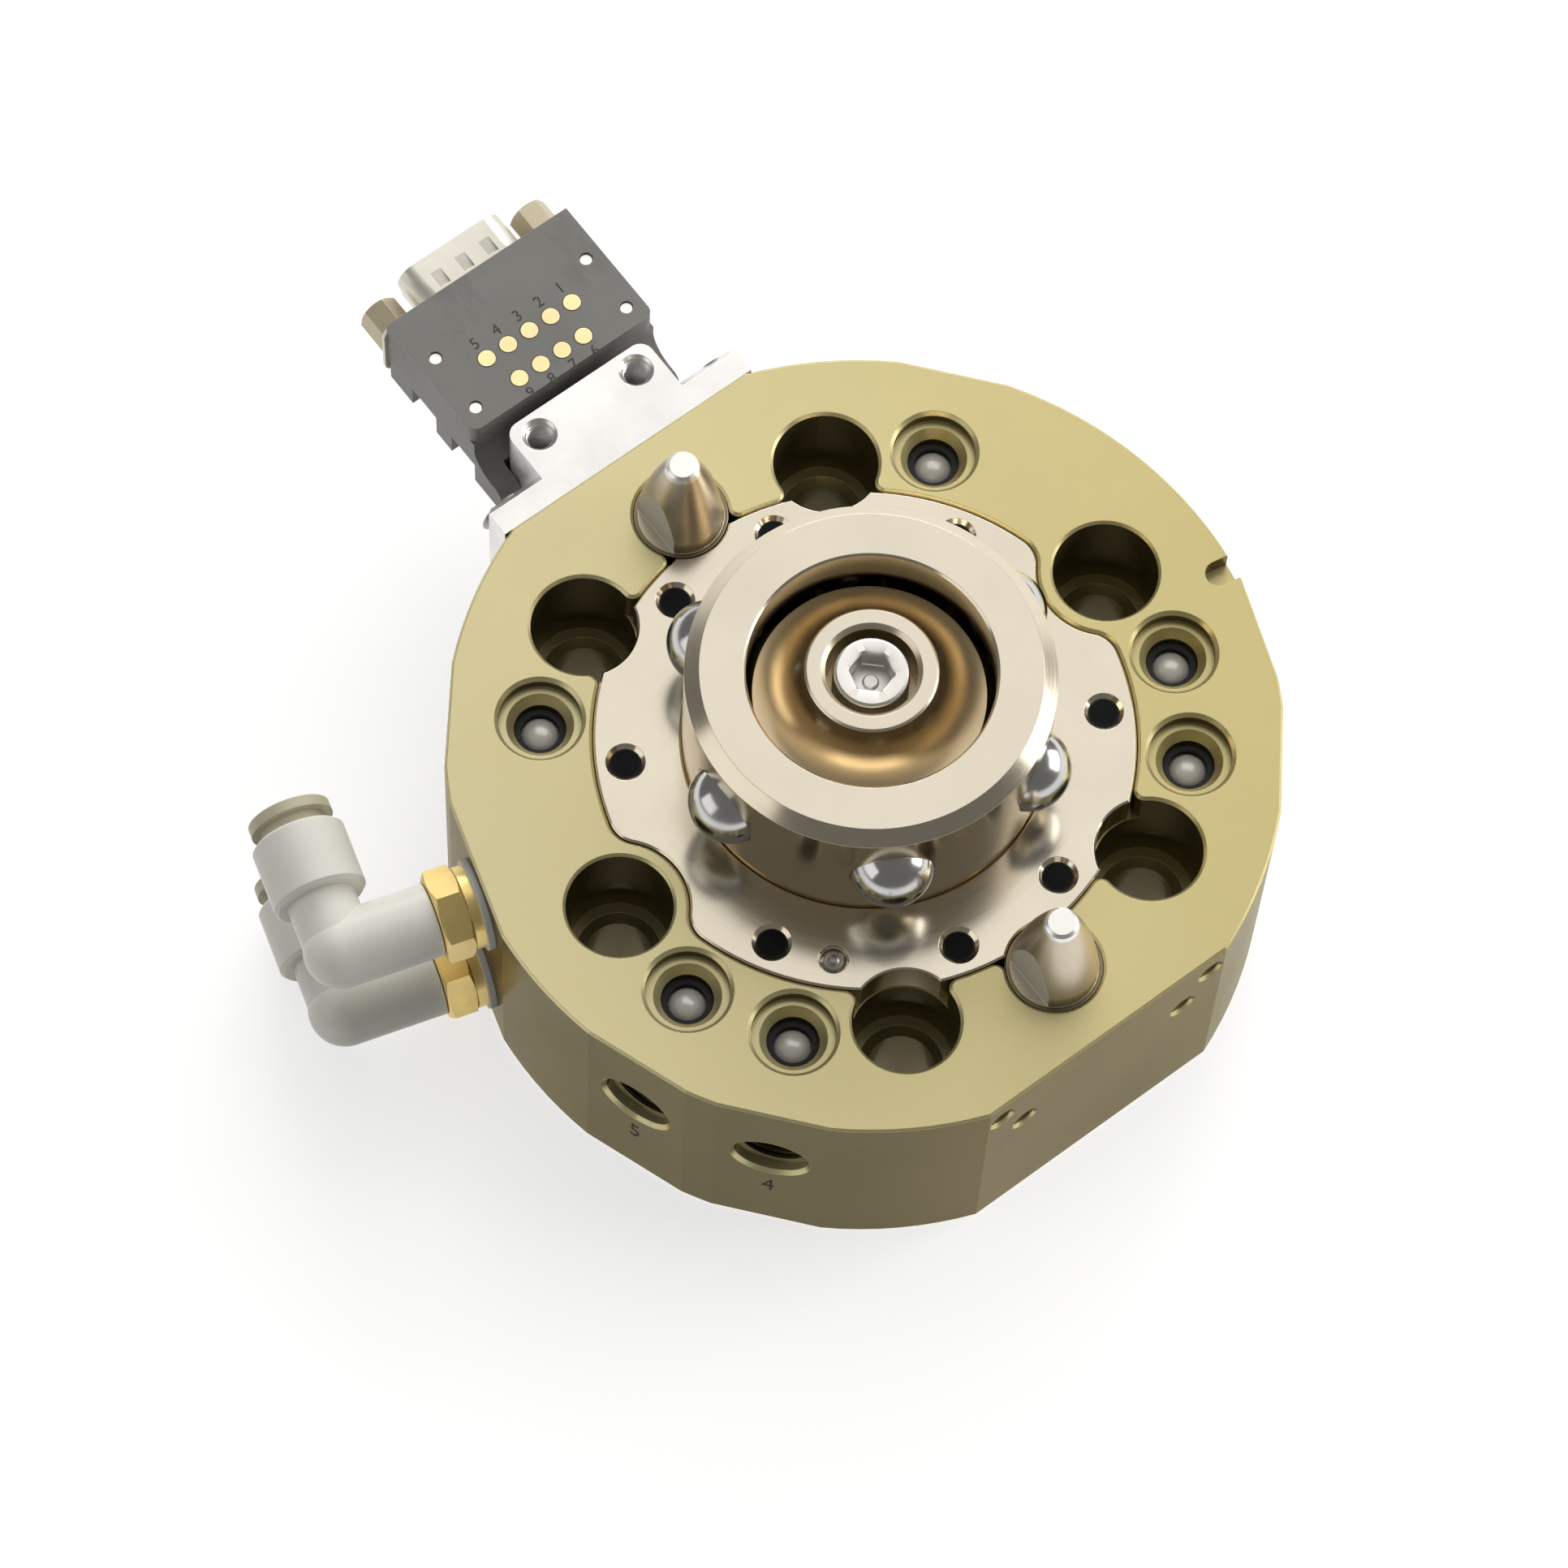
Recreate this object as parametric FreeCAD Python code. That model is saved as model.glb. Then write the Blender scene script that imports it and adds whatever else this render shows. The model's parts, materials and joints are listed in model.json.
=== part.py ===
import FreeCAD, Part
import math
import os
from FreeCAD import Placement, Rotation, Vector

# Robot side half of a pneumatic tool changer, in millimetres.
# +Z points to the tool, the origin is on the axis at the robot face, +Y points to the electrical module.
# The piston is drawn at the locked end of its stroke, with the lock balls pushed out.

# Body and its outline
body_rim = 12.5
edge_chamfer = 0.3
flat_cut = 3.5
port_facet_cut = 0.5
fitting_facet_cut = 0.9
fitting_azimuth = 163.7
notch_azimuth = -10.0
notch_width = 3.5
notch_length = 4.2
notch_depth = 2.9

# Robot flange bolts
bolt_count = 6
bolt_circle = 40.0
bolt_hole_radius = 4.5
bolt_head_radius = 7.0
bolt_seat_height = 21.0
bolt_rim_chamfer = 0.36
bolt_seat_chamfer = 1.1
index_hole_azimuth = 30.0
index_hole_radius = 4.0
index_hole_depth = 7.0

# Lock plate and its pocket
plate_screw_edge = 4.0
plate_thickness = 6.0
plate_clearance = 0.12
plate_edge_chamfer = 0.25
pocket_edge_chamfer = 0.4
plate_lobe_radius = 9.15
plate_lobe_fillet = 4.0
plate_scallop_clearance = 0.1
pocket_corner_radius = 1.4
plate_screw_azimuths = (30, 75, 105, 150, 210, 255, 285, 330)
plate_screw_wall = 0.95
plate_screw_radius = 2.0
plate_screw_clearance = 0.25
plate_screw_head_radius = 3.5
plate_screw_head_height = 4.0
plate_screw_recess = 0.5
plate_screw_mouth = 0.62
plate_screw_socket = 3.0
dowel_azimuth = 225.0
dowel_outset = 0.1
dowel_radius = 1.7
dowel_mouth_clearance = 0.3
dowel_length = 12.0
dowel_recess = 0.2
dowel_mouth_depth = 0.6

# Male coupling
coupling_radius = 24.0
coupling_height = 21.3
coupling_nose_width = 1.9
coupling_nose_height = 1.7
coupling_wall = 7.86
coupling_lip_depth = 6.0
coupling_flange_margin = 1.0
coupling_flange_thickness = 2.5
coupling_fit = 0.03
bore_lead = 0.9

# Lock balls and cam
ball_count = 6
ball_radius = 5.556
ball_inset = 1.62
ball_height = 10.0
ball_clearance = 0.06
ball_mouth_chamfer = 0.45
cam_angle = 18.2
cam_stroke = 12.0
cam_floor_gap = 0.5
cam_side_clearance = 0.08
cam_edge_height = 14.0
cam_arc_radius = 6.5
cam_crown_height = 21.4
cam_screw_bore = 5.96
cam_bore_chamfer = 0.6
cam_screw_radius = 3.0
cam_screw_head_radius = 5.0
cam_screw_head_height = 6.0
cam_screw_head_top = 20.67
cam_screw_head_chamfer = 0.4
cam_screw_clearance = 0.2
cam_screw_length = 20.0
cam_screw_socket = 5.0
cam_screw_socket_depth = 3.0

# Cylinder, head, piston and rod
chamber_radius = 24.0
head_seat_width = 4.2
head_thickness = 4.7
head_clearance = 0.1
piston_clearance = 0.05
piston_thickness = 7.0
piston_end_gap = 0.2
piston_relief_height = 3.2
piston_relief_depth = 2.2
piston_seal_width = 2.0
piston_seal_depth = 2.6
piston_seal_height = 1.1
rod_radius = 8.0
rod_clearance = 0.05
rod_tail_radius = 5.0
rod_spigot_radius = 5.0
rod_spigot_height = 3.0
rod_seal_depth = 2.4
rod_seal_width = 2.2
rod_seal_height = 1.2
nut_across_flats = 16.0
nut_height = 4.0
nut_recess_clearance = 0.5
cover_seat_width = 1.0
cover_thickness = 3.5
cover_clearance = 0.03
cover_recess = 2.2
cover_oring_section = 0.8
circlip_thickness = 1.2
circlip_groove_depth = 1.4
circlip_width = 3.2
circlip_gap_angle = 34.0
circlip_eye_radius = 1.9
circlip_eye_turn = 4.0
oring_squeeze = 0.04

# Locating pins
pin_circle = 40.0
pin_collar_radius = 6.25
pin_pocket_clearance = 0.08
pin_collar_height = 4.7
pin_collar_recess = 0.3
pin_shank_radius = 5.0
pin_shank_length = 12.0
pin_radius = 5.7
pin_length = 14.7
pin_parallel = 2.2
pin_tip_radius = 2.18
pin_tip_chamfer = 0.4
pin_flat_distance = 4.1
pin_bulge = 0.35
pin_screw_radius = 2.0
pin_screw_clearance = 0.25
pin_screw_head_radius = 3.5
pin_screw_head_height = 4.0
pin_screw_length = 18.0
pin_screw_socket = 3.0
pin_screw_tip_gap = 1.0

# Air ports on the tool face, each with a check ball and a threaded side port
port_azimuths = (40, 140, 200, 220, 320, 340)
port_wall = 1.0
port_mouth_radius = 5.5
port_mouth_depth = 2.0
port_rim_chamfer = 0.5
port_ledge_radius = 4.45
port_bore_radius = 3.45
port_cone_depth = 1.4
port_bore_depth = 20.4
side_port_depth = 15.15
side_port_radius = 4.86
side_port_mouth_radius = 5.4
side_port_thread_depth = 8.2
side_port_drill_radius = 3.2
check_ball_radius = 3.0
check_ball_depth = 7.2
check_ball_gap = 0.04
seat_thickness = 1.15
seat_bore_radius = 2.55
spring_radius = 2.6
spring_wire = 0.6
spring_coils = 4
spring_end_gap = 0.05

# Threaded holes of the two side flats
flat_hole_radius = 1.65
flat_hole_chamfer = 0.4
flat_hole_depth = 8.0
upper_hole_spread = 17.1
upper_hole_depth = 4.6
lower_hole_spread = 13.05
lower_hole_depth = 10.7

# Adapter bracket
bracket_half_width = 20.4
bracket_thickness = 4.5
bracket_top_gap = 0.3
bracket_depth = 14.7
bracket_end_chamfer = 0.9
lug_half_width = 11.6
lug_gap = 2.1
lug_corner_radius = 2.0
lug_hole_spread = 8.0
lug_hole_offset = 9.1
lug_hole_radius = 1.98
lug_hole_depth = 9.0
bracket_screw_radius = 2.0
bracket_screw_head_radius = 3.7
bracket_screw_length = 10.0
bracket_screw_socket = 2.5
bracket_dowel_radius = 2.0
bracket_dowel_length = 8.0

# Electrical module
ear_width = 3.23
block_length = 19.7
block_thickness = 4.0
block_near_corner = 1.2
housing_depth = 14.3
housing_relief_depth = 10.0
housing_rib_offsets = (19.2, 14.15, 8.75, 5.25)
ear_gap = 4.0
ear_length = 5.9
ear_top = 9.65
ear_bottom = 14.5
ear_end_radius = 1.4
ear_scoop_radius = 4.0
ear_clearance = 0.1
module_screw_radius = 1.25
module_screw_clearance = 0.1
module_screw_head_radius = 2.2
module_screw_tip_wall = 2.0
module_screw_offset = 3.2
module_screw_socket = 1.5
pad_radius = 1.2
pad_stem_radius = 0.5
pad_thickness = 1.0
pad_stem_length = 6.5
pad_proud = 0.04
pad_pitch = 3.53
far_row_offset = 7.8
near_row_offset = 2.85
far_row_count = 5
near_row_count = 4
block_pin_radius = 0.85
block_pin_hole_radius = 0.93
block_pin_spread = 12.5
block_pin_row_offsets = (11.95, 2.9)
block_pin_recess = 0.35
block_pin_length = 7.0

# Round-cornered connector at the module's far end
connector_depth = 7.55
connector_flange_half_width = 15.4
connector_flange_height = 12.5
connector_flange_thickness = 0.5
connector_flange_corner = 2.5
connector_shell_half_width = 8.9
connector_shell_height = 9.1
connector_shell_length = 6.1
connector_shell_root = 0.5
connector_root_chamfer = 0.4995
connector_shell_wall = 0.5
connector_shell_corner = 2.6
connector_shell_slant = 10.0
connector_insert_back = 5.0
contact_pin_radius = 0.5
contact_pin_length = 5.0
contact_pin_pitch = 2.77
contact_row_pitch = 2.84
contact_row_counts = (5, 4)
jack_spread = 12.5
jack_across_flats = 5.0
jack_length = 5.4
jack_turns = (15.0, 30.0)
jack_thread_radius = 1.42
jack_thread_depth = 3.5
jack_stud_radius = 1.75
jack_stud_length = 4.0

# Push-in elbow fittings
fitting_inset = 8.15
fitting_hex_turns = {"upper": 0.0, "lower": 30.0}
fitting_offset = 1.5
washer_radius = 6.2
washer_thickness = 0.9
stud_thread_radius = 3.0
stud_thread_length = 7.5
stud_bore_radius = 1.5
stud_collar_radius = 5.6
stud_collar_length = 1.4
stud_across_flats = 11.0
stud_hex_length = 4.1
stud_spigot_radius = 3.4
stud_spigot_length = 7.0
hex_corner_lead = 0.2
stud_hole_run_out = 0.6
swivel_clearance = 0.06
swivel_gap = 0.15
elbow_leg_radius = 4.95
elbow_corner = 73.3
elbow_neck_radius = 4.6
elbow_collar_start = 7.5
elbow_collar_end = 17.0
elbow_collar_radius = 6.32
elbow_collar_chamfer = 0.5
elbow_bore_radius = 2.1
tube_radius = 3.0
tube_depth = 9.0
ring_sleeve_radius = 4.4
ring_sleeve_length = 5.0
ring_flange_radius = 5.6
ring_flange_start = 18.8
ring_flange_thickness = 1.5
ring_travel = 1.0
ring_clearance = 0.06
ring_wall = 0.06
air_passage_radius = 1.1
upper_passage_drop = 1.9

# Distances from the axis, outwards from the lock
coupling_lip_radius = coupling_radius - coupling_wall
ball_circle = coupling_radius - ball_inset
cover_radius = chamber_radius + cover_seat_width
head_radius = chamber_radius + head_seat_width
coupling_flange_radius = head_radius - coupling_flange_margin
plate_screw_circle = (
    head_radius + head_clearance + plate_screw_wall + plate_screw_radius + plate_screw_clearance)
dowel_circle = plate_screw_circle + dowel_outset
plate_radius = plate_screw_circle + plate_screw_edge
port_circle = plate_radius + port_wall + port_rim_chamfer + port_mouth_radius
body_radius = port_circle + body_rim
flat_distance = body_radius - flat_cut
port_facet_distance = body_radius - port_facet_cut
fitting_facet_distance = body_radius - fitting_facet_cut
notch_inner_radius = body_radius - notch_length
ear_reach = flat_distance + bracket_thickness + ear_gap
block_near = ear_reach + ear_length
block_far = block_near + block_length
lug_reach = ear_gap + ear_length - lug_gap
block_half_width = lug_half_width + ear_clearance + ear_width

# Levels from the robot face up, which the lock's stack sets
circlip_bottom = cover_recess
cover_bottom = circlip_bottom + circlip_thickness
chamber_floor = cover_bottom + cover_thickness
piston_bottom = chamber_floor + piston_end_gap + cam_stroke
piston_top = piston_bottom + piston_thickness
head_bottom = piston_top + piston_end_gap
plate_floor = head_bottom + head_thickness
top = plate_floor + plate_thickness
port_bore_bottom = top - port_bore_depth
side_port_height = top - side_port_depth
upper_hole_height = top - upper_hole_depth
lower_hole_height = top - lower_hole_depth
fitting_heights = {"upper": top - fitting_inset, "lower": fitting_inset}
upper_passage_height = piston_top - upper_passage_drop
cam_bottom = plate_floor + cam_stroke + cam_floor_gap
ball_level = top + ball_height
cut_over = 1.0
near = 0.001
corner_band = 0.05
end_bolt_share = 0.417


def cylinder(radius, z0, z1, x=0.0, y=0.0):
    """Upright cylinder between two levels."""
    return Part.makeCylinder(radius, z1 - z0, Vector(x, y, z0))


def cone(radius0, radius1, z0, z1, x=0.0, y=0.0):
    """Upright cone between two levels."""
    return Part.makeCone(radius0, radius1, z1 - z0, Vector(x, y, z0))


def block(x0, x1, y0, y1, z0, z1):
    """Box between two corners."""
    return Part.makeBox(x1 - x0, y1 - y0, z1 - z0, Vector(x0, y0, z0))


def ring(outer, inner, z0, z1, x=0.0, y=0.0):
    """Flat ring between two levels."""
    return cylinder(outer, z0, z1, x, y).cut(cylinder(inner, z0, z1, x, y))


def profile(start, *steps):
    """Face in the XZ plane: each step is a point (x, z), or an arc as (middle, end)."""
    edges = []
    here = Vector(start[0], 0, start[1])
    for step in steps + (start,):
        if isinstance(step[0], tuple):
            middle, end = step
            there = Vector(end[0], 0, end[1])
            edges.append(Part.Arc(here, Vector(middle[0], 0, middle[1]), there).toShape())
        else:
            there = Vector(step[0], 0, step[1])
            edges.append(Part.LineSegment(here, there).toShape())
        here = there
    return Part.Face(Part.Wire(edges))


def turned(start, *steps):
    """Solid of revolution about Z with a profile of (r, z) steps."""
    return profile(start, *steps).revolve(Vector(0, 0, 0), Vector(0, 0, 1), 360)


def polar(radius, azimuth, z=0.0):
    """Point at a radius and an azimuth in degrees."""
    angle = math.radians(azimuth)
    return Vector(radius * math.cos(angle), radius * math.sin(angle), z)


def along(shape, origin, azimuth, slope=0.0):
    """The shape with its Z axis turned to a level azimuth, or one that climbs by slope degrees."""
    copy = shape.copy()
    lean = Rotation(Vector(0, 1, 0), 90 - slope)
    turn = Rotation(Vector(0, 0, 1), azimuth)
    copy.Placement = Placement(origin, turn.multiply(lean)).multiply(shape.Placement)
    return copy


def moved(shape, offset):
    """A copy of the shape at an offset."""
    copy = shape.copy()
    copy.translate(offset)
    return copy


def patterned(shape, radius, azimuths):
    """Copies of a shape, each turned and set out on a circle."""
    copies = []
    for azimuth in azimuths:
        copy = shape.copy()
        turn = Placement(polar(radius, azimuth), Rotation(Vector(0, 0, 1), azimuth))
        copy.Placement = turn.multiply(shape.Placement)
        copies.append(copy)
    return copies


def hexagon(across_flats, z0, z1, turn=0.0):
    """Upright hexagonal prism with a flat facing +X when turn is 30."""
    corner = across_flats / math.sqrt(3)
    points = [polar(corner, turn + 60 * k, z0) for k in range(7)]
    return Part.Face(Part.makePolygon(points)).extrude(Vector(0, 0, z1 - z0))


def evenly(count, first=0.0):
    """Azimuths of an even pattern."""
    return [first + 360.0 * k / count for k in range(count)]


def edges_where(shape, test):
    """Edges whose every vertex passes a test."""
    return [edge for edge in shape.Edges if all(test(vertex.Point) for vertex in edge.Vertexes)]


def socket_screw(radius, length, head_radius, head_height, socket):
    """Cap screw that stands on its head, with its head's underside at level 0."""
    head = cylinder(head_radius, -head_height, 0)
    edge = edges_where(head, lambda p: p.z < -head_height / 2)
    head = head.makeChamfer(head_radius / 12, edge)
    head = head.cut(hexagon(socket, -head_height, -head_height / 2))
    return head.fuse(cylinder(radius, 0, length)).removeSplitter()


def export(name, shape):
    """Writes one node."""
    shape.exportStep("parts/" + name + ".step")


# Places that several pieces share
bolt_azimuths = evenly(bolt_count)
side_bolts = [a for a in bolt_azimuths if abs(math.sin(math.radians(a))) > 0.5]
end_bolts = [a for a in bolt_azimuths if a not in side_bolts]
pin_azimuths = (90.0, 270.0)
pocket_radius = plate_radius + plate_clearance
pin_pocket_radius = pin_collar_radius + pin_pocket_clearance
module_flat = flat_distance
accessory_flat = -flat_distance
fitting_side = polar(1.0, fitting_azimuth + 90)


def plate_outline(radius, lobe_radius, z0, z1):
    """Disc with a rounded bay round each bolt that lies on the X axis."""
    shape = cylinder(radius, z0, z1)
    for azimuth in end_bolts:
        centre = polar(bolt_circle, azimuth)
        shape = shape.cut(cylinder(lobe_radius, z0, z1, centre.x, centre.y))
    corners = []
    for edge in shape.Edges:
        ends = [vertex.Point for vertex in edge.Vertexes]
        upright = len(ends) == 2 and abs(ends[0].z - ends[1].z) > (z1 - z0) / 2
        if upright and math.hypot(ends[0].x - ends[1].x, ends[0].y - ends[1].y) < 0.01:
            if abs(ends[0].y) > lobe_radius / 3:
                corners.append(edge)
    return shape.makeFillet(plate_lobe_fillet, corners)


def pocket_tool():
    """Space that the lock plate lies in, opened into the bolt seats and pin pockets beside it."""
    lobe = plate_lobe_radius - plate_clearance
    space = plate_outline(pocket_radius, lobe, plate_floor, top)
    opened = [cylinder(bolt_head_radius, plate_floor, top)]
    bays = patterned(opened[0], bolt_circle, side_bolts)
    pin_bay = cylinder(pin_pocket_radius, plate_floor, top)
    bays += patterned(pin_bay, pin_circle, pin_azimuths)
    space = space.fuse(bays).removeSplitter()
    corners = []
    for edge in space.Edges:
        ends = [vertex.Point for vertex in edge.Vertexes]
        if len(ends) != 2 or abs(ends[0].z - ends[1].z) < plate_thickness / 2:
            continue
        spread = math.hypot(ends[0].x, ends[0].y)
        near_end_bolt = abs(ends[0].y) < end_bolt_share * bolt_circle
        if abs(spread - pocket_radius) < corner_band and not near_end_bolt:
            corners.append(edge)
    return space.makeFillet(pocket_corner_radius, corners)


def body_blank():
    """Disc with its flats and facets, and its outer edges broken."""
    blank = cylinder(body_radius, 0, top)
    reach = 2 * body_radius
    slab = block(0, reach, -reach, reach, -cut_over, top + cut_over)
    cuts = []
    for azimuth in (90, 270):
        cuts += patterned(slab, flat_distance, [azimuth])
    cuts += patterned(slab, fitting_facet_distance, [fitting_azimuth])
    cuts += patterned(slab, port_facet_distance, port_azimuths)
    blank = blank.cut(cuts).removeSplitter()
    rims = edges_where(blank, lambda p: p.z < near) + edges_where(blank, lambda p: p.z > top - near)
    return blank.makeChamfer(edge_chamfer, rims)


def bolt_seats():
    """Stepped holes for the robot flange bolts."""
    tools = []
    rim = bolt_head_radius + bolt_rim_chamfer
    seat = bolt_hole_radius + bolt_seat_chamfer
    shape = turned(
        (0, -cut_over), (bolt_hole_radius, -cut_over),
        (bolt_hole_radius, bolt_seat_height - bolt_seat_chamfer), (seat, bolt_seat_height),
        (bolt_head_radius, bolt_seat_height), (bolt_head_radius, top - bolt_rim_chamfer),
        (rim, top), (rim, top + cut_over), (0, top + cut_over))
    tools += patterned(shape, bolt_circle, bolt_azimuths)
    index_hole = cylinder(index_hole_radius, -cut_over, index_hole_depth)
    tools += patterned(index_hole, bolt_circle, [index_hole_azimuth])
    return tools


def cylinder_bores():
    """Chamber, head recess, cover bore with its circlip groove."""
    groove = cover_radius + circlip_groove_depth
    recess = head_radius + head_clearance
    chamber = turned(
        (0, -cut_over), (cover_radius, -cut_over), (cover_radius, circlip_bottom), (groove, circlip_bottom),
        (groove, cover_bottom), (cover_radius, cover_bottom), (cover_radius, chamber_floor),
        (chamber_radius, chamber_floor), (chamber_radius, head_bottom), (recess, head_bottom),
        (recess, top), (0, top))
    mouth = cone(cover_radius + edge_chamfer, cover_radius, 0, edge_chamfer)
    return [chamber, mouth]


def screw_holes():
    """Holes for the plate screws, the plate dowel, and the pins with their screws."""
    shank = plate_screw_radius + plate_screw_clearance
    head = plate_screw_head_radius + plate_screw_clearance
    seat = plate_screw_head_height + plate_screw_recess
    screw = cylinder(shank, 0, plate_floor).fuse(cylinder(head, -cut_over, seat))
    tools = patterned(screw, plate_screw_circle, plate_screw_azimuths)
    dowel = cylinder(dowel_radius, top - dowel_recess - dowel_length, plate_floor)
    tools += patterned(dowel, dowel_circle, [dowel_azimuth])
    collar_floor = top - pin_collar_recess - pin_collar_height
    shank_floor = collar_floor - pin_shank_length
    head_seat = pin_screw_head_height + plate_screw_recess
    pin = cylinder(pin_pocket_radius, collar_floor, top + cut_over)
    pin = pin.fuse(cylinder(pin_shank_radius, shank_floor, top))
    pin = pin.fuse(cylinder(pin_screw_radius + pin_screw_clearance, 0, top))
    pin = pin.fuse(cylinder(pin_screw_head_radius + pin_screw_clearance, -cut_over, head_seat))
    tools += patterned(pin, pin_circle, pin_azimuths)
    return tools


def air_ports():
    """Face ports with their check valve bores, and the threaded side ports that feed them."""
    rim = port_mouth_radius + port_rim_chamfer
    floor = top - port_mouth_depth
    throat = floor - port_cone_depth
    face = turned(
        (0, port_bore_bottom), (port_bore_radius, port_bore_bottom), (port_bore_radius, throat),
        (port_ledge_radius, floor), (port_mouth_radius, floor), (port_mouth_radius, top - port_rim_chamfer),
        (rim, top), (rim, top + cut_over), (0, top + cut_over))
    tools = patterned(face, port_circle, port_azimuths)
    outside = port_facet_distance
    bottom = outside - side_port_thread_depth
    lead = side_port_mouth_radius - side_port_radius
    side = turned(
        (0, port_circle), (side_port_drill_radius, port_circle), (side_port_drill_radius, bottom),
        (side_port_radius, bottom), (side_port_radius, outside - lead), (side_port_mouth_radius, outside),
        (side_port_mouth_radius, outside + cut_over), (0, outside + cut_over))
    for azimuth in port_azimuths:
        tools.append(along(side, Vector(0, 0, side_port_height), azimuth))
    return tools


def flat_holes():
    """Threaded holes of the accessory flat and the module flat."""
    mouth = flat_hole_radius + flat_hole_chamfer
    hole = turned(
        (0, -flat_hole_depth), (flat_hole_radius, -flat_hole_depth), (flat_hole_radius, -flat_hole_chamfer),
        (mouth, 0), (mouth, cut_over), (0, cut_over))
    tools = []
    for spread, height in ((upper_hole_spread, upper_hole_height), (lower_hole_spread, lower_hole_height)):
        for side in (-1, 1):
            tools.append(along(hole, Vector(side * spread, accessory_flat, height), -90))
    upper = cylinder(bracket_screw_radius, bracket_thickness - bracket_screw_length, cut_over)
    lower = cylinder(bracket_dowel_radius, -bracket_dowel_length / 2, cut_over)
    for side in (-1, 1):
        tools.append(along(upper, Vector(side * upper_hole_spread, module_flat, upper_hole_height), 90))
        tools.append(along(lower, Vector(side * lower_hole_spread, module_flat, lower_hole_height), 90))
    return tools


def fitting_origin(name):
    """Point of the body's axis that a fitting's own axis starts beside."""
    return fitting_side * fitting_offset + Vector(0, 0, fitting_heights[name])


def fitting_holes():
    """Threaded holes for the two fittings, and the passages to each side of the piston."""
    tools = []
    start = fitting_facet_distance - stud_thread_length - stud_hole_run_out
    for name in fitting_heights:
        hole = cylinder(stud_thread_radius, start, fitting_facet_distance + cut_over)
        tools.append(along(hole, fitting_origin(name), fitting_azimuth))
    lower = cylinder(air_passage_radius, chamber_radius - cut_over, start + cut_over)
    tools.append(along(lower, fitting_origin("lower"), fitting_azimuth))
    fall = fitting_heights["upper"] - upper_passage_height
    run = start - chamber_radius
    slope = math.degrees(math.atan2(fall, run))
    upper = cylinder(air_passage_radius, chamber_radius - cut_over, start + cut_over)
    level = upper_passage_height - chamber_radius * fall / run
    tools.append(along(upper, fitting_side * fitting_offset + Vector(0, 0, level), fitting_azimuth, slope))
    return tools


def notch():
    """Orientation notch in the top rim."""
    half = notch_width / 2
    centre = notch_inner_radius + half
    floor = top - notch_depth
    slot = cylinder(half, floor, top + cut_over, centre, 0)
    slot = slot.fuse(block(centre, body_radius + cut_over, -half, half, floor, top + cut_over))
    slot.rotate(Vector(0, 0, 0), Vector(0, 0, 1), notch_azimuth)
    return slot


def master_body():
    """One machined body that carries everything else."""
    body = body_blank().cut(pocket_tool())
    reach = bolt_circle + bolt_head_radius + bolt_rim_chamfer
    edges = edges_where(body, lambda p: p.z > top - near and math.hypot(p.x, p.y) < reach)
    body = body.makeChamfer(pocket_edge_chamfer, edges)
    tools = cylinder_bores() + bolt_seats() + screw_holes() + air_ports()
    tools += flat_holes() + fitting_holes() + [notch()]
    return body.cut(tools)


def lock_plate():
    """Hardened plate that clamps the coupling's flange into the body."""
    plate = plate_outline(plate_radius, plate_lobe_radius, plate_floor, top)
    scallop = cylinder(bolt_head_radius + plate_scallop_clearance, plate_floor, top)
    pin_scallop = cylinder(pin_pocket_radius + plate_scallop_clearance, plate_floor, top)
    scallops = patterned(scallop, bolt_circle, side_bolts) + patterned(pin_scallop, pin_circle, pin_azimuths)
    plate = plate.cut(scallops)
    rim = edges_where(plate, lambda p: p.z > top - near)
    plate = plate.makeChamfer(plate_edge_chamfer, rim)
    bore = coupling_radius + coupling_fit
    tools = [cylinder(bore, plate_floor, top), cone(bore, bore + edge_chamfer, top - edge_chamfer, top)]
    recess_top = plate_floor + coupling_flange_thickness
    tools.append(cylinder(coupling_flange_radius + head_clearance, plate_floor, recess_top))
    mouth = plate_screw_radius + plate_screw_mouth
    screw = turned(
        (0, plate_floor), (plate_screw_radius, plate_floor), (plate_screw_radius, top - plate_screw_mouth),
        (mouth, top), (mouth, top + cut_over), (0, top + cut_over))
    tools += patterned(screw, plate_screw_circle, plate_screw_azimuths)
    wide = dowel_radius + dowel_mouth_clearance
    mouth = cylinder(wide, top - dowel_mouth_depth, top + cut_over)
    dowel = cylinder(dowel_radius, plate_floor, top).fuse(mouth)
    tools += patterned(dowel, dowel_circle, [dowel_azimuth])
    return plate.cut(tools)


def cam_radius(level):
    """Radius of the locking cone at a level, which leaves each ball its clearance."""
    angle = math.radians(cam_angle)
    reach = ball_radius + ball_clearance + (level - ball_level) * math.sin(angle)
    return ball_circle - reach / math.cos(angle)


cam_base_radius = cam_radius(cam_bottom)
coupling_bore = cam_base_radius + cam_side_clearance


def male_coupling():
    """Flanged nose that the tool side drops over, with a seat for each lock ball."""
    crown = top + coupling_height
    shoulder = crown - coupling_nose_height
    nose = coupling_radius - coupling_nose_width
    lip_bottom = crown - coupling_lip_depth
    flange_top = plate_floor + coupling_flange_thickness
    shape = turned(
        (coupling_bore, plate_floor), (coupling_flange_radius, plate_floor),
        (coupling_flange_radius, flange_top), (coupling_radius, flange_top), (coupling_radius, shoulder),
        (nose, crown), (coupling_lip_radius + edge_chamfer, crown),
        (coupling_lip_radius, crown - edge_chamfer), (coupling_lip_radius, lip_bottom),
        (coupling_bore, lip_bottom - bore_lead))
    for azimuth in evenly(ball_count):
        shape = shape.cut(along(ball_passage(), Vector(0, 0, ball_level), azimuth))
    return shape


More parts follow.
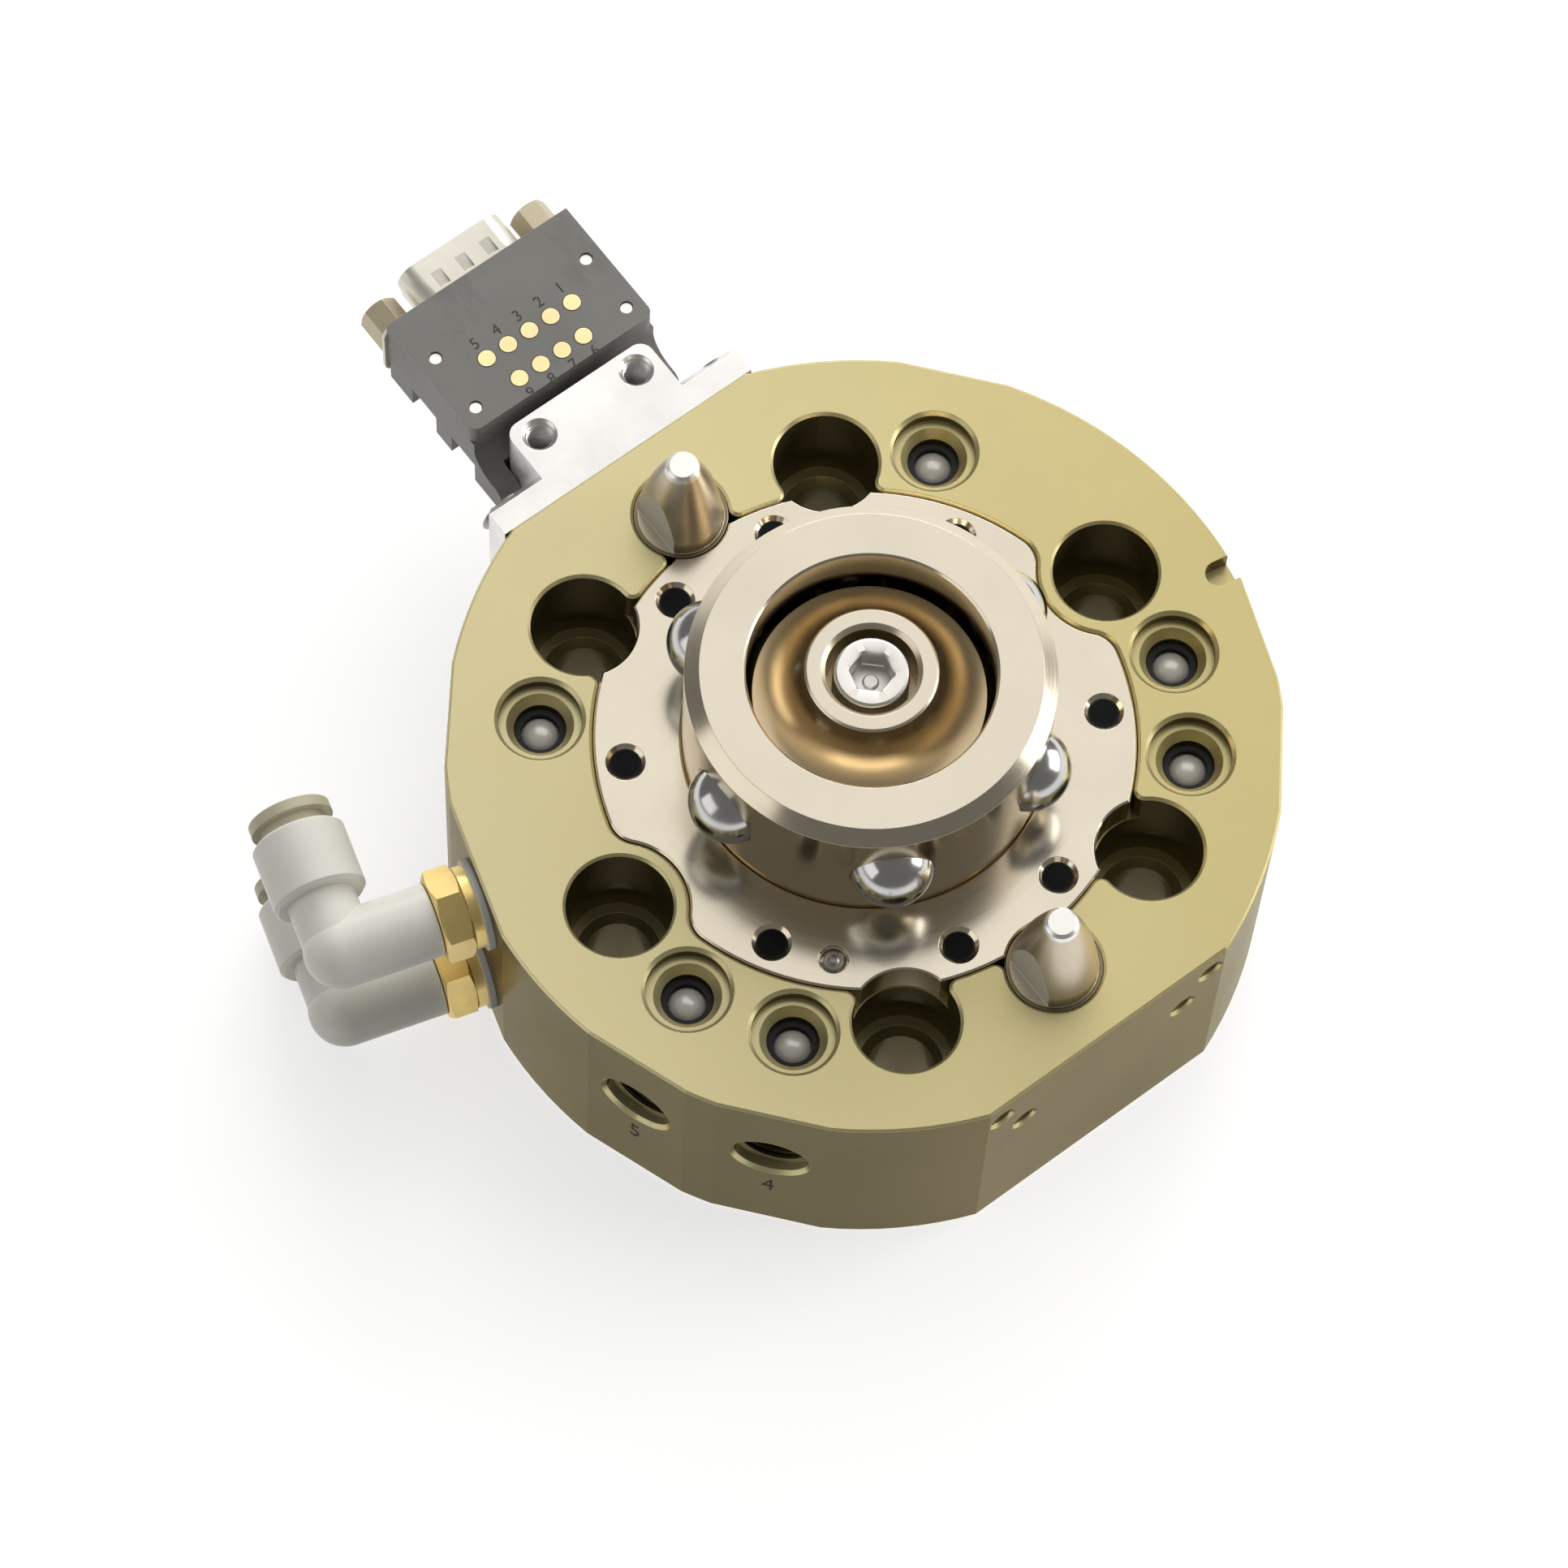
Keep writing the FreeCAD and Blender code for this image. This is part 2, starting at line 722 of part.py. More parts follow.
def ball_passage():
    """Space of a lock ball: a bore, a round seat that keeps the ball in, and a flared mouth."""
    reach = ball_radius + ball_clearance
    start = math.sqrt(coupling_bore ** 2 - reach ** 2) - cut_over
    flare_start = coupling_radius - ball_mouth_chamfer
    lean = math.asin((flare_start - ball_circle) / reach)
    throat = reach * math.cos(lean)
    middle = (reach * math.cos(lean / 2), ball_circle + reach * math.sin(lean / 2))
    flare = 3 * ball_mouth_chamfer
    return turned(
        (0, start), (reach, start), (reach, ball_circle), (middle, (throat, flare_start)),
        (throat + flare, flare_start + flare), (0, flare_start + flare))


def chamber_head():
    """Inner wall that closes the chamber and guides the rod."""
    guide = rod_radius + rod_clearance
    seal_bottom = head_bottom + rod_seal_height
    seal_top = seal_bottom + rod_seal_width
    seal_outer = rod_radius + rod_seal_depth
    section = cover_oring_section
    groove = head_radius - 2 * section + oring_squeeze
    groove_bottom = head_bottom + head_thickness / 2 - section - oring_squeeze
    groove_top = groove_bottom + 2 * (section + oring_squeeze)
    return turned(
        (guide, head_bottom), (head_radius, head_bottom), (head_radius, groove_bottom),
        (groove, groove_bottom), (groove, groove_top), (head_radius, groove_top), (head_radius, plate_floor),
        (guide, plate_floor), (guide, seal_top), (seal_outer, seal_top), (seal_outer, seal_bottom),
        (guide, seal_bottom))


def oring(outer, middle_level):
    """Round-section ring just inside an outer radius."""
    return Part.makeTorus(outer - cover_oring_section, cover_oring_section, Vector(0, 0, middle_level))


def rod_seal():
    """Lip seal of the rod, in the head."""
    bottom = head_bottom + rod_seal_height
    return ring(rod_radius + rod_seal_depth, rod_radius + rod_clearance, bottom, bottom + rod_seal_width)


def cylinder_cover():
    """Disc that closes the chamber at the robot side."""
    outer = cover_radius - cover_clearance
    section = cover_oring_section
    middle = (cover_bottom + chamber_floor) / 2
    half = section + oring_squeeze
    groove = outer - 2 * section
    return turned(
        (0, cover_bottom), (outer, cover_bottom), (outer, middle - half), (groove, middle - half),
        (groove, middle + half), (outer, middle + half), (outer, chamber_floor), (0, chamber_floor))


def cover_circlip():
    """Internal retaining ring with its two eyes."""
    outer = cover_radius + circlip_groove_depth - cover_clearance
    inner = outer - circlip_width
    shape = ring(outer, inner, circlip_bottom, cover_bottom)
    half = circlip_gap_angle / 2
    gap = [Vector(0, 0, circlip_bottom)]
    gap += [polar(2 * outer, turn, circlip_bottom) for turn in (-half, half)]
    wedge = Part.Face(Part.makePolygon(gap + gap[:1])).extrude(Vector(0, 0, circlip_thickness))
    shape = shape.cut(wedge)
    for side in (-1, 1):
        centre = polar(inner + circlip_width / 3, side * (half + circlip_eye_turn))
        eye = cylinder(circlip_eye_radius, circlip_bottom, cover_bottom, centre.x, centre.y)
        hole = cylinder(circlip_eye_radius / 2, circlip_bottom, cover_bottom, centre.x, centre.y)
        shape = shape.fuse(eye).cut(hole)
    return shape.removeSplitter()


def piston():
    """Double-acting piston with a relieved crown where the upper passage enters."""
    outer = chamber_radius - piston_clearance
    relief = outer - piston_relief_depth
    step = piston_top - piston_relief_height
    seal_bottom = piston_bottom + piston_seal_height
    seal_top = seal_bottom + piston_seal_width
    groove = outer - piston_seal_depth
    recess = nut_across_flats / math.sqrt(3) + nut_recess_clearance
    recess_top = piston_bottom + nut_height
    return turned(
        (rod_tail_radius, recess_top), (recess, recess_top), (recess, piston_bottom), (outer, piston_bottom),
        (outer, seal_bottom), (groove, seal_bottom), (groove, seal_top), (outer, seal_top), (outer, step),
        (relief, step), (relief, piston_top), (rod_tail_radius, piston_top))


def piston_seal():
    """Square-section seal of the piston."""
    outer = chamber_radius - piston_clearance
    bottom = piston_bottom + piston_seal_height
    return ring(outer, outer - piston_seal_depth, bottom, bottom + piston_seal_width)


def piston_rod():
    """Rod from the piston nut to the spigot inside the cam."""
    spigot_top = cam_bottom + rod_spigot_height
    screw_end = top + cam_screw_head_top - cam_screw_head_height - cam_screw_length - 1.0
    return turned(
        (0, piston_bottom), (rod_tail_radius, piston_bottom), (rod_tail_radius, piston_top),
        (rod_radius, piston_top), (rod_radius, cam_bottom), (rod_spigot_radius, cam_bottom),
        (rod_spigot_radius, spigot_top), (cam_screw_radius, spigot_top), (cam_screw_radius, screw_end),
        (0, screw_end))


def piston_nut():
    """Hexagon nut that holds the piston on the rod's tail."""
    nut = hexagon(nut_across_flats, piston_bottom, piston_bottom + nut_height)
    return nut.cut(cylinder(rod_tail_radius, piston_bottom, piston_bottom + nut_height))


def locking_cam():
    """Trumpet-shaped cam: its lower cone drives the balls out, and they rest in its hollow when unlocked."""
    edge = top + cam_edge_height
    edge_radius = cam_radius(edge)
    boss = edge_radius - cam_arc_radius
    arc_level = edge + cam_arc_radius
    slant = cam_arc_radius * math.sqrt(0.5)
    crown = top + cam_crown_height
    seat = top + cam_screw_head_top - cam_screw_head_height
    spigot_top = cam_bottom + rod_spigot_height
    hole = cam_screw_radius + cam_screw_clearance
    mouth = cam_screw_bore + cam_bore_chamfer
    middle = (edge_radius - slant, arc_level - slant)
    return turned(
        (rod_spigot_radius, cam_bottom), (cam_base_radius, cam_bottom), (edge_radius, edge),
        (middle, (boss, arc_level)), (boss, crown - edge_chamfer), (boss - edge_chamfer, crown),
        (mouth, crown), (cam_screw_bore, crown - cam_bore_chamfer), (cam_screw_bore, seat), (hole, seat),
        (hole, spigot_top), (rod_spigot_radius, spigot_top))


def cam_screw():
    """Cap screw that holds the cam on the rod."""
    head_top = top + cam_screw_head_top
    seat = head_top - cam_screw_head_height
    inner = cam_screw_head_radius - cam_screw_head_chamfer
    tip = cam_screw_radius - cam_screw_head_chamfer
    end = seat - cam_screw_length
    screw = turned(
        (0, end), (tip, end), (cam_screw_radius, end + cam_screw_head_chamfer), (cam_screw_radius, seat),
        (cam_screw_head_radius, seat), (cam_screw_head_radius, head_top - cam_screw_head_chamfer),
        (inner, head_top), (0, head_top))
    return screw.cut(hexagon(cam_screw_socket, head_top - cam_screw_socket_depth, head_top, fitting_azimuth))


def plate_screws():
    """Cap screws that pull the lock plate down from the robot side."""
    length = top - plate_screw_recess - plate_screw_recess - plate_screw_head_height
    screw = socket_screw(
        plate_screw_radius, length, plate_screw_head_radius, plate_screw_head_height, plate_screw_socket)
    screw.translate(Vector(0, 0, plate_screw_recess + plate_screw_head_height))
    return Part.makeCompound(patterned(screw, plate_screw_circle, plate_screw_azimuths))


def plate_dowel():
    """Domed dowel that clocks the lock plate."""
    end = top - dowel_recess
    dome = dowel_radius * 0.3
    sphere = (dowel_radius ** 2 + dome ** 2) / (2 * dome)
    half = math.asin(dowel_radius / sphere) / 2
    middle = (sphere * math.sin(half), end - sphere * (1 - math.cos(half)))
    pin = turned(
        (0, end - dowel_length), (dowel_radius, end - dowel_length), (dowel_radius, end - dome),
        (middle, (0, end)))
    return moved(pin, polar(dowel_circle, dowel_azimuth))


def locating_pin():
    """Tapered pin with two flats, on a collar that sits in the body."""
    collar_top = top - pin_collar_recess
    collar_floor = collar_top - pin_collar_height
    shank_end = collar_floor - pin_shank_length
    crown = top + pin_length
    shoulder = top + pin_parallel
    tip = pin_tip_radius - pin_tip_chamfer
    middle = ((pin_radius + pin_tip_radius) / 2 + pin_bulge, (shoulder + crown - pin_tip_chamfer) / 2)
    upper = turned(
        (0, collar_top), (pin_radius, collar_top), (pin_radius, shoulder),
        (middle, (pin_tip_radius, crown - pin_tip_chamfer)), (tip, crown), (0, crown))
    reach = 2 * pin_radius
    for side in (-1, 1):
        x0, x1 = sorted((side * pin_flat_distance, side * reach))
        upper = upper.cut(block(x0, x1, -reach, reach, collar_top, crown))
    lower = turned(
        (0, shank_end), (pin_shank_radius, shank_end), (pin_shank_radius, collar_floor),
        (pin_collar_radius, collar_floor), (pin_collar_radius, collar_top), (0, collar_top))
    screw_top = plate_screw_recess + pin_screw_head_height + pin_screw_length
    hole = cylinder(pin_screw_radius, shank_end, screw_top + pin_screw_tip_gap)
    return upper.fuse(lower).removeSplitter().cut(hole)


def pin_screws():
    """Screws that hold the locating pins from the robot side."""
    screw = socket_screw(
        pin_screw_radius, pin_screw_length, pin_screw_head_radius, pin_screw_head_height, pin_screw_socket)
    screw.translate(Vector(0, 0, plate_screw_recess + pin_screw_head_height))
    return Part.makeCompound(patterned(screw, pin_circle, pin_azimuths))


check_ball_level = top - check_ball_depth
seat_bottom = check_ball_level + math.sqrt((check_ball_radius + check_ball_gap) ** 2 - seat_bore_radius ** 2)


def check_seats():
    """Rubber seats that the check balls close against."""
    seat = ring(port_bore_radius, seat_bore_radius, seat_bottom, seat_bottom + seat_thickness)
    return Part.makeCompound(patterned(seat, port_circle, port_azimuths))


def check_spring(azimuth):
    """Square-wire coil spring under a check ball, from the bore's floor to the ball."""
    half = spring_wire / 2
    inner = spring_radius - spring_wire
    touch = math.sqrt((check_ball_radius + spring_end_gap) ** 2 - inner ** 2)
    low = port_bore_bottom + half
    high = check_ball_level - touch - half
    path = Part.makeHelix((high - low) / spring_coils, high - low, spring_radius - half)
    corners = [
        Vector(inner, 0, -half), Vector(spring_radius, 0, -half), Vector(spring_radius, 0, half),
        Vector(inner, 0, half)]
    section = Part.makePolygon(corners + corners[:1])
    coil = Part.Wire(path.Edges).makePipeShell([section], True, True)
    coil.translate(Vector(0, 0, low))
    return moved(coil, polar(port_circle, azimuth))


def adapter_bracket():
    """Plate on the module flat with a lug that carries the electrical module."""
    level = top - bracket_top_gap
    bottom = level - bracket_depth
    front = module_flat + bracket_thickness
    plate = block(-bracket_half_width, bracket_half_width, module_flat, front, bottom, level)
    ends = edges_where(plate, lambda p: p.y > front - near and abs(p.x) > bracket_half_width - near)
    plate = plate.makeChamfer(bracket_end_chamfer, ends)
    lug = block(-lug_half_width, lug_half_width, module_flat, front + lug_reach, bottom, level)
    corners = []
    for edge in lug.Edges:
        ends = [vertex.Point for vertex in edge.Vertexes]
        if abs(ends[0].z - ends[1].z) > 1.0 and min(ends[0].y, ends[1].y) > front + lug_reach - near:
            corners.append(edge)
    lug = lug.makeFillet(lug_corner_radius, corners)
    bracket = plate.fuse(lug).removeSplitter()
    tools = []
    mouth = lug_hole_radius + flat_hole_chamfer
    hole = turned(
        (0, level - lug_hole_depth), (lug_hole_radius, level - lug_hole_depth),
        (lug_hole_radius, level - flat_hole_chamfer), (mouth, level), (0, level))
    sink = bracket_screw_head_radius - bracket_screw_radius
    screw = turned(
        (0, -cut_over), (bracket_screw_radius, -cut_over), (bracket_screw_radius, bracket_thickness - sink),
        (bracket_screw_head_radius, bracket_thickness), (0, bracket_thickness))
    dowel = cylinder(bracket_dowel_radius, -cut_over, bracket_dowel_length / 2)
    for side in (-1, 1):
        tools.append(moved(hole, Vector(side * lug_hole_spread, module_flat + lug_hole_offset, 0)))
        tools.append(along(screw, Vector(side * upper_hole_spread, module_flat, upper_hole_height), 90))
        tools.append(along(dowel, Vector(side * lower_hole_spread, module_flat, lower_hole_height), 90))
    tools.append(along(cross_hole(), module_screw_place, 0))
    return bracket.cut(tools)


def bracket_screws():
    """Countersunk screws of the bracket."""
    sink = bracket_screw_head_radius - bracket_screw_radius
    tip = bracket_thickness - bracket_screw_length
    screw = turned(
        (0, tip), (bracket_screw_radius, tip), (bracket_screw_radius, bracket_thickness - sink),
        (bracket_screw_head_radius, bracket_thickness), (0, bracket_thickness))
    screw = screw.cut(hexagon(bracket_screw_socket, bracket_thickness - sink, bracket_thickness))
    places = [Vector(side * upper_hole_spread, module_flat, upper_hole_height) for side in (-1, 1)]
    return Part.makeCompound([along(screw, place, 90) for place in places])


def bracket_dowels():
    """Dowels that line the bracket up on its flat."""
    half = bracket_dowel_length / 2
    pin = cylinder(bracket_dowel_radius, -half, half)
    places = [Vector(side * lower_hole_spread, module_flat, lower_hole_height) for side in (-1, 1)]
    return Part.makeCompound([along(pin, place, 90) for place in places])


module_screw_place = Vector(0, block_near - module_screw_offset, top - (ear_top + ear_bottom) / 2)


def pad_places():
    """Centres of the contact pads, the far row first."""
    places = []
    for count, offset in ((far_row_count, far_row_offset), (near_row_count, near_row_offset)):
        for k in range(count):
            places.append(Vector(((count - 1) / 2 - k) * pad_pitch, block_near + offset, 0))
    return places


def block_pin_places():
    """Centres of the four small pins of the contact block."""
    rows = [block_near + offset for offset in block_pin_row_offsets]
    return [Vector(side * block_pin_spread, row, 0) for row in rows for side in (-1, 1)]


def contact_block():
    """Insulating block that presents the contact pads to the tool."""
    bottom = top - block_thickness
    shape = block(-block_half_width, block_half_width, block_near, block_far, bottom, top)
    corners = []
    for edge in shape.Edges:
        ends = [vertex.Point for vertex in edge.Vertexes]
        if abs(ends[0].z - ends[1].z) > 1.0 and ends[0].y < block_near + near:
            corners.append(edge)
    shape = shape.makeFillet(block_near_corner, corners)
    pad = cylinder(pad_radius, top - pad_thickness, top).fuse(cylinder(pad_stem_radius, bottom, top))
    pin = cylinder(block_pin_hole_radius, bottom, top)
    tools = [moved(pad, place) for place in pad_places()]
    tools += [moved(pin, place) for place in block_pin_places()]
    tools.append(connector_body(connector_shell_wall, block_far - connector_insert_back, block_far))
    return shape.cut(tools)


def contact_pads():
    """Flush contact pads on their stems."""
    pad = cylinder(pad_radius, top - pad_thickness, top + pad_proud)
    pad = pad.fuse(cylinder(pad_stem_radius, top - pad_stem_length, top - pad_thickness)).removeSplitter()
    return Part.makeCompound([moved(pad, place) for place in pad_places()])


def block_pins():
    """Pins that hold the contact block on its housing."""
    end = top - block_pin_recess
    pin = cylinder(block_pin_radius, end - block_pin_length, end)
    return Part.makeCompound([moved(pin, place) for place in block_pin_places()])


def housing_profile():
    """Side outline of the module housing as (y, depth) corners."""
    rib1, gap1, rib2, gap2 = [block_near + offset for offset in housing_rib_offsets]
    relief = housing_relief_depth
    return [
        (block_near, block_thickness), (block_far, block_thickness), (block_far, relief), (rib1, relief),
        (rib1, housing_depth), (gap1, housing_depth), (gap1, relief), (rib2, relief),
        (rib2, housing_depth), (gap2, housing_depth), (gap2, relief), (block_near, relief)]


def housing_ears():
    """Two ears and the web between them, with a scooped top that rises into the housing."""
    floor = top - ear_top
    low = top - ear_bottom
    dip = ear_scoop_radius * (1 - math.sqrt(0.5))
    side = profile(
        (ear_reach, low), (block_near, low), (block_near, floor + ear_scoop_radius),
        ((block_near - dip, floor + dip), (block_near - ear_scoop_radius, floor)), (ear_reach, floor))
    ears = side.extrude(Vector(0, 2 * block_half_width, 0))
    ears.translate(Vector(0, -block_half_width, 0))
    ears.rotate(Vector(0, 0, 0), Vector(0, 0, 1), 90)
    inner = lug_half_width + ear_clearance
    lug_end = flat_distance + bracket_thickness + lug_reach + ear_clearance
    ears = ears.cut(block(-inner, inner, ear_reach, lug_end, low, floor + ear_scoop_radius))
    ends = edges_where(ears, lambda p: p.y < ear_reach + near)
    ends = [edge for edge in ends if abs(edge.Vertexes[0].Point.z - edge.Vertexes[1].Point.z) < near]
    return ears.makeFillet(ear_end_radius, ends)


def module_housing():
    """Housing under the contact block, with two ears that straddle the bracket's lug."""
    corners = [Vector(-block_half_width, y, top - depth) for y, depth in housing_profile()]
    face = Part.Face(Part.makePolygon(corners + corners[:1]))
    shape = face.extrude(Vector(2 * block_half_width, 0, 0))
    shape = shape.fuse(housing_ears()).removeSplitter()
    tools = [moved(cylinder(pad_stem_radius, top - pad_stem_length, top), place) for place in pad_places()]
    pin_end = top - block_pin_recess - block_pin_length
    tools += [moved(cylinder(block_pin_radius, pin_end, top), place) for place in block_pin_places()]
    back = block_far - connector_insert_back
    tools.append(connector_body(connector_shell_wall, back, block_far))
    tools.append(along(cross_hole(), module_screw_place, 0))
    jack = cylinder(jack_stud_radius, block_far - jack_stud_length, block_far)
    for side in (-1, 1):
        tools.append(along(jack, Vector(side * jack_spread, 0, top - connector_depth), 90))
    return shape.cut(tools)


def cross_hole():
    """Hole of the cross screw: tapped in the far ear, clear from the lug on, and countersunk."""
    sink = module_screw_head_radius - module_screw_radius
    tip = module_screw_tip_wall - block_half_width
    shank = module_screw_radius + module_screw_clearance
    return turned(
        (0, tip), (module_screw_radius, tip), (module_screw_radius, -lug_half_width),
        (shank, -lug_half_width), (shank, block_half_width - sink + module_screw_clearance),
        (module_screw_head_radius, block_half_width), (0, block_half_width))


def module_screw():
    """Countersunk screw through the near ear and the lug into the far ear."""
    sink = module_screw_head_radius - module_screw_radius
    tip = module_screw_tip_wall - block_half_width
    screw = turned(
        (0, tip), (module_screw_radius, tip), (module_screw_radius, block_half_width - sink),
        (module_screw_head_radius, block_half_width), (0, block_half_width))
    socket = hexagon(module_screw_socket, block_half_width - sink, block_half_width)
    return along(screw.cut(socket), module_screw_place, 0)


def connector_body(inset, y0, y1):
    """Rounded D-shaped prism along Y, shrunk by an inset."""
    half_height = connector_shell_height / 2 - inset
    slant = math.tan(math.radians(connector_shell_slant)) * 2 * half_height
    wide = connector_shell_half_width - inset
    narrow = wide - slant
    level = top - connector_depth
    points = [
        Vector(-wide, y0, level + half_height), Vector(wide, y0, level + half_height),
        Vector(narrow, y0, level - half_height), Vector(-narrow, y0, level - half_height)]
    prism = Part.Face(Part.makePolygon(points + points[:1])).extrude(Vector(0, y1 - y0, 0))
    long_edges = []
    for edge in prism.Edges:
        ends = [vertex.Point for vertex in edge.Vertexes]
        if abs(ends[0].y - ends[1].y) > (y1 - y0) / 2:
            long_edges.append(edge)
    return prism.makeFillet(connector_shell_corner - inset, long_edges)


def connector_shell():
    """Plated shell with its mounting flange."""
    level = top - connector_depth
    half = connector_flange_height / 2
    front = block_far + connector_flange_thickness
    wide = connector_flange_half_width
    flange = block(-wide, wide, block_far, front, level - half, level + half)
    corners = [edge for edge in flange.Edges if abs(edge.BoundBox.YLength) > near]
    flange = flange.makeFillet(connector_flange_corner, corners)
    shell = connector_body(0, block_far, block_far + connector_flange_thickness + connector_shell_length)
    root = connector_body(-connector_shell_root, block_far, front + connector_shell_root)
    rim = edges_where(root, lambda p: p.y > front)
    root = root.makeChamfer(connector_root_chamfer, rim)
    shape = flange.fuse([root, shell]).removeSplitter()
    mouth = front + connector_shell_length + cut_over
    hollow = connector_body(connector_shell_wall, block_far - cut_over, mouth)
    tools = [hollow]
    jack = cylinder(jack_stud_radius, block_far - cut_over, front + cut_over)
    for side in (-1, 1):
        tools.append(along(jack, Vector(side * jack_spread, 0, level), 90))
    return shape.cut(tools)


def contact_pin_places():
    """Centres of the connector's pins in its own plane, the wide row at the top."""
    places = []
    for row, count in enumerate(contact_row_counts):
        height = top - connector_depth + (0.5 - row) * contact_row_pitch
        for k in range(count):
            places.append(Vector((k - (count - 1) / 2) * contact_pin_pitch, 0, height))
    return places


def connector_insert():
    """Insulator behind the connector's pins."""
    back = block_far - connector_insert_back
    front = block_far + connector_flange_thickness
    shape = connector_body(connector_shell_wall, back, front)
    holes = [along(cylinder(contact_pin_radius, back, front), place, 90) for place in contact_pin_places()]
    return shape.cut(holes)


def connector_pins():
    """Contact pins of the connector."""
    back = block_far - connector_insert_back
    end = block_far + connector_flange_thickness + contact_pin_length
    pin = cylinder(contact_pin_radius, back, end)
    return Part.makeCompound([along(pin, place, 90) for place in contact_pin_places()])


def jackscrews():
    """Hexagonal standoffs each side of the connector."""
    level = top - connector_depth
    front = block_far + connector_flange_thickness
    end = front + jack_length
    corner = jack_across_flats / math.sqrt(3)
    lead = corner - jack_across_flats / 2 + hex_corner_lead
    rounded = turned((0, front), (corner, front), (corner, end - lead / 2), (corner - lead, end), (0, end))
    stud = cylinder(jack_stud_radius, block_far - jack_stud_length, front)
    hole = cylinder(jack_thread_radius, end - jack_thread_depth, end)
    jacks = []
    for side, turn in zip((-1, 1), jack_turns):
        nut = hexagon(jack_across_flats, front, end, turn).common(rounded)
        nut = nut.fuse(stud).removeSplitter().cut(hole)
        jacks.append(along(nut, Vector(side * jack_spread, 0, level), 90))
    return Part.makeCompound(jacks)


washer_front = fitting_facet_distance + washer_thickness
hex_start = washer_front + stud_collar_length
hex_end = hex_start + stud_hex_length
elbow_start = hex_end + swivel_gap
elbow_bore_end = hex_end + stud_spigot_length + swivel_gap


def fitting_washer(name):
    """Sealing washer under a fitting."""
    shape = ring(washer_radius, stud_thread_radius, fitting_facet_distance, washer_front)
    return along(shape, fitting_origin(name), fitting_azimuth)


def fitting_stud(name):
    """Brass stud with a hexagon, and the spigot that the elbow turns on."""
    start = fitting_facet_distance - stud_thread_length
    end = hex_end + stud_spigot_length
    shape = turned(
        (stud_bore_radius, start), (stud_thread_radius, start), (stud_thread_radius, washer_front),
        (stud_collar_radius, washer_front), (stud_collar_radius, hex_start), (stud_bore_radius, hex_start))
    nut = hexagon(stud_across_flats, hex_start, hex_end, fitting_hex_turns[name])
    corner = stud_across_flats / math.sqrt(3)
    lead = corner - stud_across_flats / 2 + hex_corner_lead
    rounded = turned(
        (0, hex_start), (corner - lead, hex_start), (corner, hex_start + lead / 2),
        (corner, hex_end - lead / 2), (corner - lead, hex_end), (0, hex_end))
    nut = nut.common(rounded).fuse(cylinder(stud_spigot_radius, hex_end, end))
    nut = nut.cut(cylinder(stud_bore_radius, hex_start, end))
    shape = shape.fuse(nut).removeSplitter()
    return along(shape, fitting_origin(name), fitting_azimuth)


def fitting_elbow(name):
    """Plastic elbow that swivels on its stud and takes the tube in its collar."""
    corner = Vector(0, 0, elbow_corner)
    out = Vector(0, -1, 0)
    leg = cylinder(elbow_leg_radius, elbow_start, elbow_corner)
    knee = Part.makeSphere(elbow_leg_radius, corner)
    neck = Part.makeCylinder(elbow_neck_radius, elbow_collar_start + cut_over, corner, out)
    collar = turned(
        (0, elbow_collar_start), (elbow_collar_radius - elbow_collar_chamfer, elbow_collar_start),
        (elbow_collar_radius, elbow_collar_start + elbow_collar_chamfer),
        (elbow_collar_radius, elbow_collar_end - elbow_collar_chamfer),
        (elbow_collar_radius - elbow_collar_chamfer, elbow_collar_end), (0, elbow_collar_end))
    collar.Placement = Placement(corner, Rotation(Vector(0, 0, 1), out))
    shape = leg.fuse([knee, neck, collar]).removeSplitter()
    swivel = cylinder(stud_spigot_radius + swivel_clearance, elbow_start, elbow_bore_end)
    throat = cylinder(elbow_bore_radius, elbow_start, elbow_corner)
    cross = Part.makeCylinder(elbow_bore_radius, elbow_collar_end, corner, out)
    floor = elbow_collar_end - tube_depth
    sleeve_floor = ring_flange_start - ring_sleeve_length - ring_travel - ring_clearance
    socket = turned(
        (0, floor), (tube_radius, floor), (tube_radius, sleeve_floor),
        (ring_sleeve_radius + ring_wall, sleeve_floor), (ring_sleeve_radius + ring_wall, elbow_collar_end),
        (0, elbow_collar_end))
    socket.Placement = Placement(corner, Rotation(Vector(0, 0, 1), out))
    shape = shape.cut([swivel, throat, cross, socket])
    return along(shape, fitting_origin(name), fitting_azimuth)


def release_ring(name):
    """Ring that is pushed in to free the tube."""
    sleeve_end = ring_flange_start - ring_sleeve_length
    flange_end = ring_flange_start + ring_flange_thickness
    shape = turned(
        (tube_radius, sleeve_end), (ring_sleeve_radius, sleeve_end), (ring_sleeve_radius, ring_flange_start),
        (ring_flange_radius, ring_flange_start), (ring_flange_radius, flange_end), (tube_radius, flange_end))
    shape.Placement = Placement(Vector(0, 0, elbow_corner), Rotation(Vector(0, 0, 1), Vector(0, -1, 0)))
    return along(shape, fitting_origin(name), fitting_azimuth)


